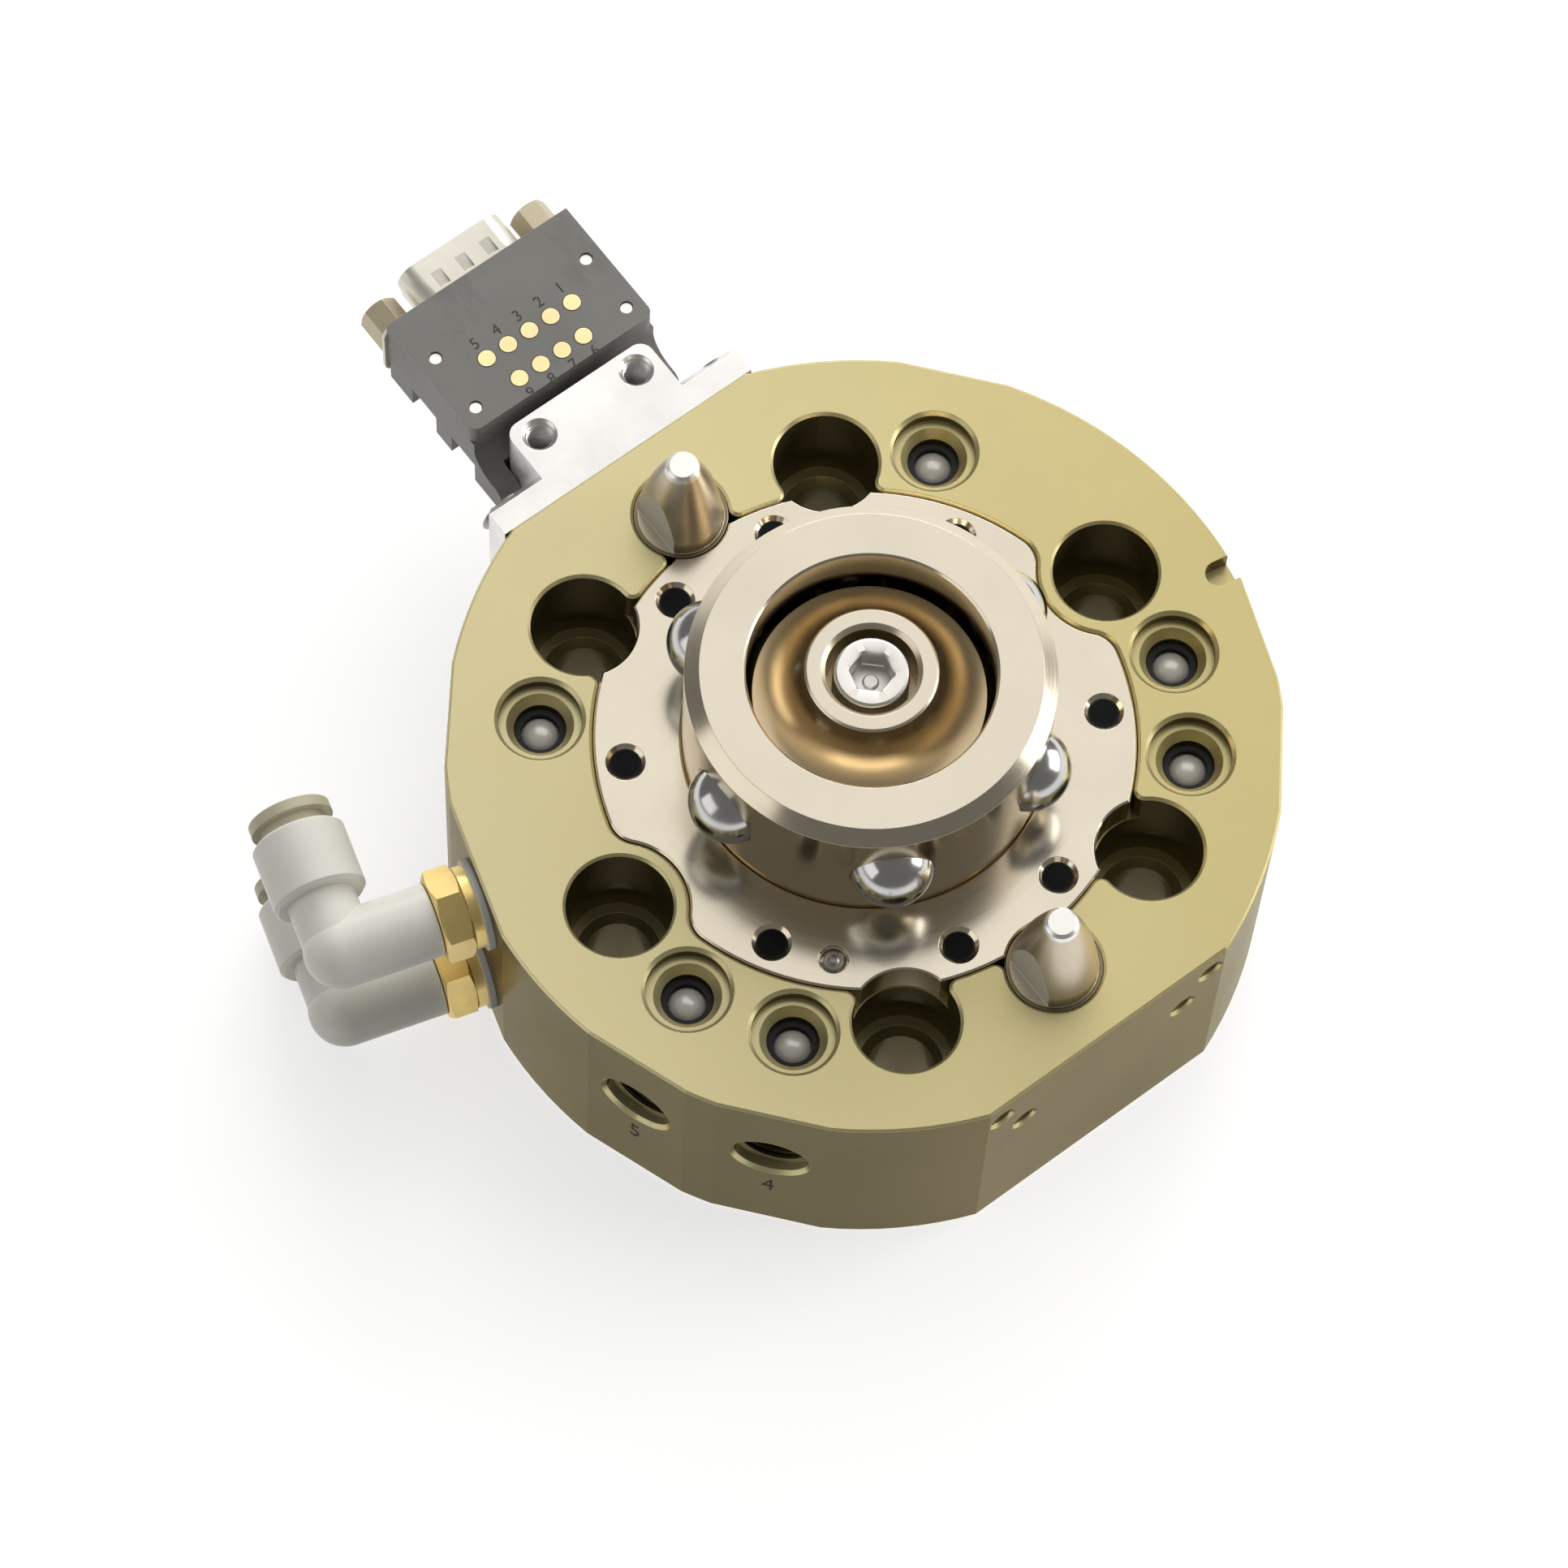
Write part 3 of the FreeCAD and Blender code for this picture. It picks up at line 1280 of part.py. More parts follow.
def main():
    """Writes every node."""
    os.makedirs("parts", exist_ok=True)
    single = {
        "master_body": master_body, "lock_plate": lock_plate, "male_coupling": male_coupling,
        "chamber_head": chamber_head, "rod_seal": rod_seal, "cylinder_cover": cylinder_cover,
        "cover_circlip": cover_circlip, "piston": piston, "piston_seal": piston_seal,
        "piston_rod": piston_rod, "piston_nut": piston_nut, "locking_cam": locking_cam,
        "cam_screw": cam_screw, "plate_screws": plate_screws, "plate_dowel": plate_dowel,
        "pin_screws": pin_screws,
        "check_seats": check_seats, "adapter_bracket": adapter_bracket, "bracket_screws": bracket_screws,
        "bracket_dowels": bracket_dowels, "contact_block": contact_block, "contact_pads": contact_pads,
        "block_pins": block_pins, "module_housing": module_housing, "module_screw": module_screw,
        "connector_shell": connector_shell, "connector_insert": connector_insert,
        "connector_pins": connector_pins, "jackscrews": jackscrews}
    for name, make in single.items():
        export(name, make())
    head_wall = head_radius + head_clearance
    export("head_oring", oring(head_wall - oring_squeeze / 2, head_bottom + head_thickness / 2))
    export("cover_oring", oring(cover_radius - oring_squeeze / 2, (cover_bottom + chamber_floor) / 2))
    for number, azimuth in enumerate(pin_azimuths, 1):
        export("locating_pin_%d" % number, moved(locating_pin(), polar(pin_circle, azimuth)))
    for number, azimuth in enumerate(evenly(ball_count), 1):
        centre = polar(ball_circle, azimuth, ball_level)
        export("lock_ball_%d" % number, Part.makeSphere(ball_radius, centre))
    for number, azimuth in enumerate(port_azimuths, 1):
        centre = polar(port_circle, azimuth, check_ball_level)
        export("check_ball_%d" % number, Part.makeSphere(check_ball_radius, centre))
        export("check_spring_%d" % number, check_spring(azimuth))
    for name in fitting_heights:
        export(name + "_washer", fitting_washer(name))
        export(name + "_stud", fitting_stud(name))
        export(name + "_elbow", fitting_elbow(name))
        export(name + "_release_ring", release_ring(name))


main()
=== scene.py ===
import json
import math

import bmesh
import bpy
from mathutils import Matrix, Vector


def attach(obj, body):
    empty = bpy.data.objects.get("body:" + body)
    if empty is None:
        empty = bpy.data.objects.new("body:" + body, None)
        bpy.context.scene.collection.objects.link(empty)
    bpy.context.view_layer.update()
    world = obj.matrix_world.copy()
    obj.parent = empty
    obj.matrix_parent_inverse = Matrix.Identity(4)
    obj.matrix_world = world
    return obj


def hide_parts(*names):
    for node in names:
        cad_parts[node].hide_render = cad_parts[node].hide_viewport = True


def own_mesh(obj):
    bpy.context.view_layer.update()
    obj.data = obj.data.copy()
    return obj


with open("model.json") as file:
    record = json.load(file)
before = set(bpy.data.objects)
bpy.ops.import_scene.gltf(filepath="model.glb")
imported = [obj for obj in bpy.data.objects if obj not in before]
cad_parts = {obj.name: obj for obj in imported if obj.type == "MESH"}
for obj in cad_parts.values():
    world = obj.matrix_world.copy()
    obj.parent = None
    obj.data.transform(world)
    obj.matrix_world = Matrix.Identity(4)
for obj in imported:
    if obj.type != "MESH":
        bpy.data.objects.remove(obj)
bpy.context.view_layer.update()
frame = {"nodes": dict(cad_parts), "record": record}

MM = 0.001
TURN = 2 * math.pi

# Camera, solved from the photograph's round features
LENS_MM = 163.55
SENSOR_MM = 36.0
CLIP_START = 0.01
CAMERA_AZIMUTH = -41.069
CAMERA_ELEVATION = 66.694
CAMERA_ROLL = 4.135
CAMERA_DISTANCE = 0.92623
CAMERA_TARGET = Vector((-12.609, 0.968, 37.0)) * MM


def add_camera():
    """Camera at the photograph's viewing angle."""
    azimuth = math.radians(CAMERA_AZIMUTH)
    elevation = math.radians(CAMERA_ELEVATION)
    roll = math.radians(CAMERA_ROLL)
    level = math.cos(elevation)
    back = Vector((math.sin(azimuth) * level, -math.cos(azimuth) * level, math.sin(elevation)))
    sideways = (-back).cross(Vector((0, 0, 1))).normalized()
    upwards = sideways.cross(-back)
    right = math.cos(roll) * sideways + math.sin(roll) * upwards
    up = -math.sin(roll) * sideways + math.cos(roll) * upwards
    data = bpy.data.cameras.new("camera")
    data.lens = LENS_MM
    data.sensor_width = SENSOR_MM
    data.clip_start = CLIP_START
    camera = bpy.data.objects.new("camera", data)
    place = Matrix.Translation(CAMERA_TARGET + back * CAMERA_DISTANCE)
    camera.matrix_world = place @ Matrix((right, up, back)).transposed().to_4x4()
    bpy.context.scene.collection.objects.link(camera)
    bpy.context.scene.camera = camera


# Spans that one noise and the sum of two noises mostly cover
NOISE_SPAN = (0.3, 0.7)
PAIR_SPAN = (0.6, 1.4)

# Edges: how alike the rounded and the true normal are, from an edge to a face
EDGE_SPAN = (0.88, 1.0)
BEVEL_SAMPLES = 6

# Sockets of the colour mix, and the vector operations that give a number
MIX_FIRST_COLOUR = 6
MIX_SECOND_COLOUR = 7
MIX_RESULT_COLOUR = 2
NUMBER_RESULTS = ("LENGTH", "DOT_PRODUCT")


class Shader:
    """A node material, built a node at a time."""

    def __init__(self, name):
        self.material = bpy.data.materials.new(name)
        self.material.use_nodes = True
        self.tree = self.material.node_tree
        self.tree.nodes.clear()
        self.output = self.node("ShaderNodeOutputMaterial")
        self.surface = self.node("ShaderNodeBsdfPrincipled")
        self.link(self.surface.outputs[0], self.output.inputs["Surface"])
        self.shared = {}

    def node(self, kind, **settings):
        """Node of a kind; a setting is a property or an input of it."""
        made = self.tree.nodes.new(kind)
        for key, value in settings.items():
            if hasattr(made, key):
                setattr(made, key, value)
            else:
                made.inputs[key.replace("_", " ")].default_value = value
        return made

    def link(self, source, target):
        self.tree.links.new(source, target)

    def once(self, kind, output):
        """Output of a node that the material has once."""
        if kind not in self.shared:
            self.shared[kind] = self.node(kind)
        return self.shared[kind].outputs[output]

    def place(self):
        """Position in the frame, in metres."""
        return self.once("ShaderNodeTexCoord", "Object")

    def normal(self):
        return self.once("ShaderNodeNewGeometry", "Normal")

    def set(self, **values):
        """Numbers and colours that are the same all over the surface."""
        for key, value in values.items():
            self.surface.inputs[key.replace("_", " ")].default_value = value

    def fill(self, sockets, values):
        """Gives each socket its value, or a link where the value is a socket."""
        for socket, value in zip(sockets, values):
            if isinstance(value, bpy.types.NodeSocket):
                self.link(value, socket)
            elif value is not None:
                socket.default_value = value

    def math(self, operation, first, second=None):
        made = self.node("ShaderNodeMath", operation=operation)
        self.fill(made.inputs, (first, second))
        return made.outputs[0]

    def vector(self, operation, first, second=None):
        """Vector sum, product and so on; lengths and dot products give a number."""
        made = self.node("ShaderNodeVectorMath", operation=operation)
        self.fill(made.inputs, (first, second))
        return made.outputs["Value" if operation in NUMBER_RESULTS else "Vector"]

    def noise(self, scale, detail=3.0, stretch=None, roughness=0.55):
        """Noise fixed to the object, from 0 to 1."""
        made = self.node("ShaderNodeTexNoise", Scale=scale, Detail=detail, Roughness=roughness)
        source = self.place()
        if stretch:
            mapping = self.node("ShaderNodeMapping", Scale=stretch)
            self.link(source, mapping.inputs["Vector"])
            source = mapping.outputs["Vector"]
        self.link(source, made.inputs["Vector"])
        return made.outputs["Fac"]

    def ramp(self, source, low, high, start=0.0, end=1.0):
        """The source's span from low to high, moved to start to end."""
        made = self.node("ShaderNodeMapRange", From_Min=low, From_Max=high, To_Min=start, To_Max=end)
        self.link(source, made.inputs["Value"])
        return made.outputs["Result"]

    def uneven(self, first, second, low, high):
        """Number from low to high, by the sum of two noises."""
        return self.ramp(self.math("ADD", first, second), *PAIR_SPAN, low, high)

    def mix(self, factor, first, second):
        """Colour between first and second."""
        made = self.node("ShaderNodeMix", data_type="RGBA")
        self.link(factor, made.inputs["Factor"])
        sockets = (made.inputs[MIX_FIRST_COLOUR], made.inputs[MIX_SECOND_COLOUR])
        opaque = [(*value, 1.0) if isinstance(value, tuple) else value for value in (first, second)]
        self.fill(sockets, opaque)
        return made.outputs[MIX_RESULT_COLOUR]

    def drift(self, noise, first, second):
        """Colour that drifts between two with a noise."""
        return self.mix(self.ramp(noise, *NOISE_SPAN), first, second)

    def rounded_normal(self, radius):
        """Normal of the surface as if its edges were rounded."""
        return self.node("ShaderNodeBevel", samples=BEVEL_SAMPLES, Radius=radius).outputs[0]

    def edges(self, radius, share):
        """The share near the edges of a solid, and 0 on its faces."""
        likeness = self.vector("DOT_PRODUCT", self.rounded_normal(radius), self.normal())
        return self.math("MULTIPLY", self.ramp(likeness, *EDGE_SPAN, 1.0, 0.0), share)

    def bump(self, height, distance, strength, rounding):
        made = self.node("ShaderNodeBump", Distance=distance, Strength=strength)
        self.link(height, made.inputs["Height"])
        self.link(self.rounded_normal(rounding), made.inputs["Normal"])
        self.link(made.outputs[0], self.surface.inputs["Normal"])

    def colour(self, source):
        self.link(source, self.surface.inputs["Base Color"])

    def rough(self, source):
        self.link(source, self.surface.inputs["Roughness"])

    def height(self):
        """Height above the robot face, in metres."""
        return self.vector("DOT_PRODUCT", self.place(), (0.0, 0.0, 1.0))

    def upright(self, start, end):
        """1 on upright faces and 0 on level ones, between two slants of the normal."""
        parts = self.node("ShaderNodeSeparateXYZ")
        self.link(self.normal(), parts.inputs[0])
        return self.ramp(self.math("ABSOLUTE", parts.outputs[2]), start, end)

    def level_length(self, source):
        """Length of the level part of a vector."""
        return self.vector("LENGTH", self.vector("MULTIPLY", source, (1.0, 1.0, 0.0)))

    def turned_lines(self, scale):
        """Noise that follows circles round the part's axis, as turning leaves."""
        parts = self.node("ShaderNodeSeparateXYZ")
        self.link(self.place(), parts.inputs[0])
        joined = self.node("ShaderNodeCombineXYZ")
        self.link(self.level_length(self.place()), joined.inputs[0])
        self.link(parts.outputs[2], joined.inputs[1])
        made = self.node("ShaderNodeTexNoise", Scale=scale, Detail=4.0, Roughness=0.65)
        self.link(joined.outputs[0], made.inputs["Vector"])
        return made.outputs["Fac"]


def shade(colour, share):
    """The colour times a share."""
    return tuple(share * part for part in colour)


# Body: colours of its level faces and of its sides, away from the fittings and towards them. The sides
# are darkened as painted shade, deeper towards the fittings, and the level faces are lightened towards
# the fittings as a painted sheen
BODY_LEVEL_AWAY = ((0.55, 0.47, 0.215), (0.59, 0.505, 0.24))
BODY_LEVEL_PAINTED_SHEEN = ((0.64, 0.57, 0.33), (0.68, 0.61, 0.36))
BODY_SIDE_PAINTED_SHADE = (0.115, 0.098, 0.05)
BODY_SIDE_DEEPER_PAINTED_SHADE = (0.082, 0.07, 0.036)
BODY_EDGE = (0.32, 0.27, 0.11)
PAINTED_LIGHT_REACH = 0.055
PAINTED_LIGHT_WAY = (-0.92, 0.38, 0.0)

# Nickel plating, and the ground crown of the cam, which has the same colour
NICKEL = (0.66, 0.60, 0.50)
# Tint of upright nickel faces: a painted reflection of the olive body
NICKEL_SIDE_PAINTED_REFLECTION = (1.0, 0.93, 0.80)
CAM_DISH = ((0.66, 0.55, 0.37), (0.59, 0.48, 0.31))
CAM_CROWN_HEIGHT = (0.0580, 0.0582)

# Locating pins: two, either way along Y, with flats, collars and ground tips
PIN_PLACE = (0.0, 0.040, 0.0)
PIN_TAPER = ((0.66, 0.58, 0.46), (0.61, 0.53, 0.42))
PIN_FLAT = (0.68, 0.66, 0.61)
PIN_COLLAR = (0.20, 0.16, 0.09)
PIN_TIP = (0.86, 0.85, 0.82)
PIN_EDGE = (0.74, 0.70, 0.63)
PIN_FLAT_SLANT = (0.06, 0.02)
PIN_FLAT_REACH = (0.00558, 0.00564)
PIN_COLLAR_REACH = (0.00574, 0.00578)
PIN_TIP_HEIGHT = (0.0506, 0.0509)


def anodised():
    """Olive-gold hard anodising on fine-milled aluminium, with sides darkened as painted shade and a
    painted sheen on the level faces towards the fittings.
    """
    s = Shader("hard_anodised_body")
    s.set(Metallic=0.7, Specular_IOR_Level=0.3, Specular_Tint=(1.0, 0.85, 0.55, 1.0), Coat_Weight=0.1)
    cloud = s.noise(38.0, 4.0)
    grain = s.noise(5200.0, 2.0)
    # Painted light: towards the fittings the level faces lighten as a painted sheen and the sides
    # darken as deeper painted shade
    towards = s.ramp(s.vector("DOT_PRODUCT", s.place(), PAINTED_LIGHT_WAY), -PAINTED_LIGHT_REACH, PAINTED_LIGHT_REACH)
    level = s.mix(towards, s.drift(cloud, *BODY_LEVEL_AWAY), s.drift(cloud, *BODY_LEVEL_PAINTED_SHEEN))
    side = s.mix(towards, BODY_SIDE_PAINTED_SHADE, BODY_SIDE_DEEPER_PAINTED_SHADE)
    # Painted shade: upright faces take the dark side colour
    base = s.mix(s.upright(0.3, 0.1), level, side)
    s.colour(s.mix(s.edges(0.0003, 0.4), base, BODY_EDGE))
    s.rough(s.uneven(cloud, grain, 0.30, 0.42))
    s.bump(grain, 0.000012, strength=0.5, rounding=0.00012)
    return s.material


def cam_finish():
    """Brown hardened dish with a ground crown."""
    s = Shader("cam_steel")
    s.set(Metallic=1.0)
    lines = s.turned_lines(420.0)
    cloud = s.noise(70.0, 4.0)
    s.colour(s.mix(s.ramp(s.height(), *CAM_CROWN_HEIGHT), s.drift(cloud, *CAM_DISH), NICKEL))
    s.rough(s.uneven(lines, cloud, 0.24, 0.40))
    s.bump(lines, 0.000003, strength=0.2, rounding=0.0001)
    return s.material


def nickel(name, scale, base, roughness):
    """Warm nickel plating over turned and ground steel, with upright faces tinted as a painted
    reflection of the olive body.
    """
    s = Shader(name)
    s.set(Metallic=1.0)
    lines = s.turned_lines(scale)
    smudge = s.noise(60.0, 5.0)
    level = s.mix(s.ramp(smudge, 0.35, 0.7), base, shade(base, 0.93))
    # Painted reflection: upright faces take the warm tint of the olive body
    side = tuple(part * tint for part, tint in zip(base, NICKEL_SIDE_PAINTED_REFLECTION))
    s.colour(s.mix(s.upright(0.95, 0.4), level, side))
    s.rough(s.uneven(lines, smudge, roughness * 0.75, roughness * 1.35))
    s.bump(lines, 0.000004, strength=0.35, rounding=0.0001)
    return s.material


def steel(name, base, roughness, spread=0.25, scale=900.0, wear=0.0, metallic=1.0):
    """Plain metal with fine uneven polish, and brighter edges where they are worn."""
    s = Shader(name)
    s.set(Metallic=metallic)
    fine = s.noise(scale, 3.0)
    cloud = s.noise(90.0, 4.0)
    colour = s.drift(cloud, base, shade(base, 0.85))
    if wear:
        bright = tuple(min(1.0, 1.6 * part + 0.1) for part in base)
        colour = s.mix(s.edges(0.0002, wear), colour, bright)
    s.colour(colour)
    s.rough(s.uneven(fine, cloud, roughness * (1 - spread), roughness * (1 + spread)))
    s.bump(fine, 0.000006, strength=0.3, rounding=0.0001)
    return s.material


def plastic(name, base, roughness, spread=0.12, coat=0.0, wear=0.0, swirl=0.0, gloss=0.5):
    """Moulded plastic with a fine grain, slight unevenness and lighter worn edges."""
    s = Shader(name)
    s.set(Metallic=0.0, Specular_IOR_Level=gloss, Coat_Weight=coat, Coat_Roughness=0.2)
    fine = s.noise(1400.0, 4.0)
    cloud = s.noise(45.0, 3.0)
    colour = s.drift(cloud, base, shade(base, 1 - spread))
    if swirl:
        streaks = s.noise(110.0, 6.0, stretch=(1.0, 0.45, 1.0), roughness=0.7)
        mark = s.math("MULTIPLY", s.ramp(streaks, 0.52, 0.68), swirl)
        colour = s.mix(mark, colour, shade(base, 0.6))
    if wear:
        colour = s.mix(s.edges(0.00025, wear), colour, shade(base, 2.2))
    s.colour(colour)
    s.rough(s.uneven(fine, cloud, roughness * 0.85, roughness * 1.15))
    s.bump(fine, 0.00001, strength=0.6, rounding=0.00015)
    return s.material


def locating_steel():
    """Ground taper with a bright tip, hatched flats and a dark collar."""
    s = Shader("pin_steel")
    distance = s.level_length(s.vector("SUBTRACT", s.vector("ABSOLUTE", s.place()), PIN_PLACE))
    inside = s.ramp(distance, *PIN_FLAT_REACH, 1.0, 0.0)
    flat = s.math("MULTIPLY", s.upright(*PIN_FLAT_SLANT), inside)
    s.link(s.math("SUBTRACT", 1.0, s.math("MULTIPLY", flat, 0.5)), s.surface.inputs["Metallic"])
    fine = s.noise(3200.0, 3.0)
    hatch = s.noise(2400.0, 2.0, stretch=(0.15, 0.15, 1.0))
    base = s.mix(flat, s.drift(fine, *PIN_TAPER), PIN_FLAT)
    base = s.mix(s.ramp(distance, *PIN_COLLAR_REACH), base, PIN_COLLAR)
    base = s.mix(s.ramp(s.height(), *PIN_TIP_HEIGHT), base, PIN_TIP)
    s.colour(s.mix(s.edges(0.00025, 0.5), base, PIN_EDGE))
    s.rough(s.math("ADD", s.uneven(fine, hatch, 0.34, 0.40), s.math("MULTIPLY", flat, 0.2)))
    s.bump(s.math("MULTIPLY", hatch, flat), 0.00001, strength=0.6, rounding=0.00015)
    return s.material


def chrome(name, base, roughness):
    """Polished ball with slight haze and a few darker spots."""
    s = Shader(name)
    s.set(Metallic=1.0)
    s.colour(s.mix(s.ramp(s.noise(700.0, 2.0), 0.66, 0.72), base, shade(base, 0.75)))
    s.rough(s.ramp(s.noise(120.0, 3.0), *NOISE_SPAN, roughness * 0.6, roughness * 1.6))
    return s.material


# Plain metals and plastics, by the name of their slot or detail: base colour, roughness and options
METALS = {
    "check_ball_steel": ((1.0, 0.99, 0.95), 0.24, {"spread": 0.15, "metallic": 0.25}),
    "dowel_steel": ((0.42, 0.40, 0.37), 0.35, {"wear": 0.4}),
    "black_screw_steel": ((0.012, 0.012, 0.013), 0.45, {"wear": 0.7}),
    "cam_screw_steel": ((0.80, 0.78, 0.74), 0.34, {"scale": 300.0}),
    "inner_steel": ((0.55, 0.54, 0.52), 0.28, {"wear": 0.3}),
    "spring_steel": ((0.42, 0.42, 0.42), 0.35, {}),
    "inner_aluminium": ((0.74, 0.74, 0.75), 0.32, {"wear": 0.3}),
    "bracket_aluminium": ((0.87, 0.86, 0.85), 0.36, {"wear": 0.2}),
    "bracket_screw_steel": ((0.55, 0.55, 0.55), 0.3, {"wear": 0.3}),
    "gold_contact": ((1.0, 0.80, 0.44), 0.36, {}),
    "contact_pin_metal": ((0.92, 0.91, 0.88), 0.3, {}),
    "connector_plating": ((0.76, 0.73, 0.65), 0.42, {"wear": 0.3, "metallic": 0.75}),
    "jack_plating": ((0.58, 0.51, 0.36), 0.42, {"wear": 0.3, "metallic": 0.65}),
    "fitting_brass": ((1.0, 0.76, 0.30), 0.38, {"wear": 0.3, "metallic": 0.75}),
    # Threads in the body's holes: dark as painted shade in the recesses, in place of the anodised
    # colour
    "thread_finish": ((0.17, 0.15, 0.08), 0.4, {}),
}
PLASTICS = {
    "seal_rubber": ((0.02, 0.02, 0.02), 0.65, {}),
    "black_insulator": ((0.215, 0.21, 0.197), 0.45, {"spread": 0.15, "wear": 0.5, "swirl": 0.7}),
    "connector_insulator": ((0.02, 0.02, 0.02), 0.5, {}),
    "elbow_plastic": ((0.93, 0.92, 0.85), 0.38, {"coat": 0.15}),
    "ring_plastic": ((0.60, 0.56, 0.40), 0.4, {"coat": 0.1}),
    "white_nylon": ((0.80, 0.80, 0.78), 0.5, {}),
    # Dark marking colour, also used as painted shade in the gaps round the contact pads
    "marking": ((0.05, 0.047, 0.04), 0.6, {}),
    "port_marking": ((0.05, 0.045, 0.03), 0.7, {"gloss": 0.15}),
}


def assign_materials():
    """Gives each CAD node the finish of its slot."""
    finishes = {
        "hard_anodised_body": anodised(),
        "nickel_steel": nickel("nickel_steel", 5200.0, NICKEL, 0.17),
        "cam_steel": cam_finish(),
        "lock_ball_steel": chrome("lock_ball_steel", (0.55, 0.55, 0.54), 0.17),
        "pin_steel": locating_steel(),
    }
    for name, (base, roughness, options) in METALS.items():
        finishes[name] = steel(name, base, roughness, **options)
    for name, (base, roughness, options) in PLASTICS.items():
        finishes[name] = plastic(name, base, roughness, **options)
    slots = {entry["node"]: entry["material_slot"] for entry in frame["record"]["subparts"]}
    for name, node in frame["nodes"].items():
        material = finishes[slots[name]]
        if not node.material_slots:
            node.data.materials.append(material)
        for entry in node.material_slots:
            entry.material = material
    return finishes


# Detail pieces: sizes in millimetres, as in the construction, and azimuths in degrees
TOP = 37.0

# Side ports: azimuth and number of each, their mouths and their threads
SIDE_PORTS = {40: "1", 340: "2", 320: "3", 220: "4", 200: "5", 140: "6"}
PORT_DISTANCE = 54.5
PORT_HEIGHT = 21.85
PORT_THREAD = {"major": 4.86, "minor": 4.25, "pitch": 0.907, "start": 0.9, "end": 8.0, "steps": 48}

# Holes of the accessory flat and of the bracket's lug, either side of the middle
FLAT_Y = -51.5
FLAT_HOLES = ((17.1, 32.4), (13.05, 26.3))
FLAT_THREAD = {"major": 1.65, "minor": 1.3, "pitch": 0.7, "start": 0.5, "end": 7.8, "steps": 32}
LUG_HOLE = (8.0, 60.6, 36.7)
LUG_THREAD = {"major": 1.98, "minor": 1.6, "pitch": 0.7, "start": 0.35, "end": 8.8, "steps": 32}

# Profile of a thread ridge: how far it runs into the wall, and its half widths in pitches
THREAD_ROOT_DEPTH = 0.02
THREAD_ROOT_HALF = 0.46
THREAD_CREST_HALF = 0.08
THREAD_FADE = 4.0
THREAD_LEAST = 0.02

# Figures: letter size and thickness, width and height of each kind, how high the port figures are,
# and a distance that is outside the body
FIGURE_SIZE = 1.4
FIGURE_DEPTH = 0.02
PORT_FIGURE = (2.6, 4.0)
PORT_FIGURE_HEIGHT = 12.0
CONTACT_FIGURE = (1.6, 1.75)
OUTSIDE_DISTANCE = 60.0

# Contact pads: the block's near edge, and each row's count, distance, first number and figure shift
BLOCK_NEAR = 65.9
PAD_PITCH = 3.53
PAD_ROWS = ((5, 7.8, 1, 2.65), (4, 2.85, 6, -2.66))
# Ring of painted shade in the gap round each pad
PAD_GAP_SHADE_RING = {"inner": 1.205, "outer": 1.31, "low": -0.2, "high": 0.012, "count": 48}

# Cap screw of the cam: levels, radii, knurl and socket
SCREW_TOP = 57.67
SCREW_SEAT = 51.67
SCREW_END = 31.67
SCREW_RADIUS = 3.0
KNURL_RADIUS = 4.97
KNURL_DEPTH = 0.11
KNURL_TEETH = 72
SOCKET_HALF = 2.5
SOCKET_DEPTH = 3.4
SOCKET_TURN = math.radians(16.0)
SCREW_STEPS = 288
SCREW_SHARP = 20.0

# Staked dowel of the lock plate, and the four nicks round it
DOWEL_PLACE = (31.6, 225)
DOWEL_TOP = 36.74
DOWEL_STEPS = 72
DOWEL_SHARP = 60.0
STAKE_AZIMUTHS = (95, 160, 275, 335)
STAKE_HALF_ANGLE = 13
STAKE_LAYERS = ((36.45, 1.8, 2.03), (36.86, 1.92, 2.03))

# Dimples pressed into the connector shell's upper wall: places across, depth along the shell,
# and the faces of the solid that cuts one, by the numbers of its corners
DIMPLE_MIDDLES = (-4.0, 0.0, 4.0)
DIMPLE_HALF_WIDTH = 0.85
DIMPLE_PROFILE = ((87.2, 0.42), (87.5, 0.42), (89.6, 0.02))
DIMPLE_CLEAR = 1.0
DIMPLE_WALLS = ((0, 4, 5, 1), (2, 3, 7, 6), (0, 2, 6, 4), (1, 5, 7, 3))
DIMPLE_ENDS = ((0, 1, 3, 2), (8, 10, 11, 9))
SHELL_TOP = TOP - 7.55 + 4.55

# Check valves: how many
CHECK_VALVES = 6


def axis_frame(point, direction):
    """Frame at a point in millimetres whose Z axis is the direction."""
    turn = Vector(direction).to_track_quat("Z", "Y").to_matrix().to_4x4()
    return Matrix.Translation(Vector(point)) @ turn


def round_point(distance, angle, height):
    """Point at an angle in radians round the Z axis."""
    return Vector((distance * math.cos(angle), distance * math.sin(angle), height))


def polar(distance, azimuth, height):
    """Point at an azimuth in degrees round the Z axis."""
    return round_point(distance, math.radians(azimuth), height)


def new_object(name, data):
    """New object in the scene."""
    made = bpy.data.objects.new(name, data)
    bpy.context.scene.collection.objects.link(made)
    return made


def finished_mesh(name, builder):
    """Mesh in metres, from bmesh work in millimetres."""
    bmesh.ops.recalc_face_normals(builder, faces=builder.faces)
    builder.transform(Matrix.Scale(MM, 4))
    mesh = bpy.data.meshes.new(name)
    builder.to_mesh(mesh)
    builder.free()
    return mesh


def add_piece(name, builder, body, finish, sharp=35.0):
    """Turns bmesh work in millimetres into a piece of the model."""
    mesh = finished_mesh(name, builder)
    mesh.shade_smooth()
    mesh.set_sharp_from_angle(angle=math.radians(sharp))
    mesh.materials.append(finish)
    piece = new_object(name, mesh)
    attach(piece, body)
    return piece


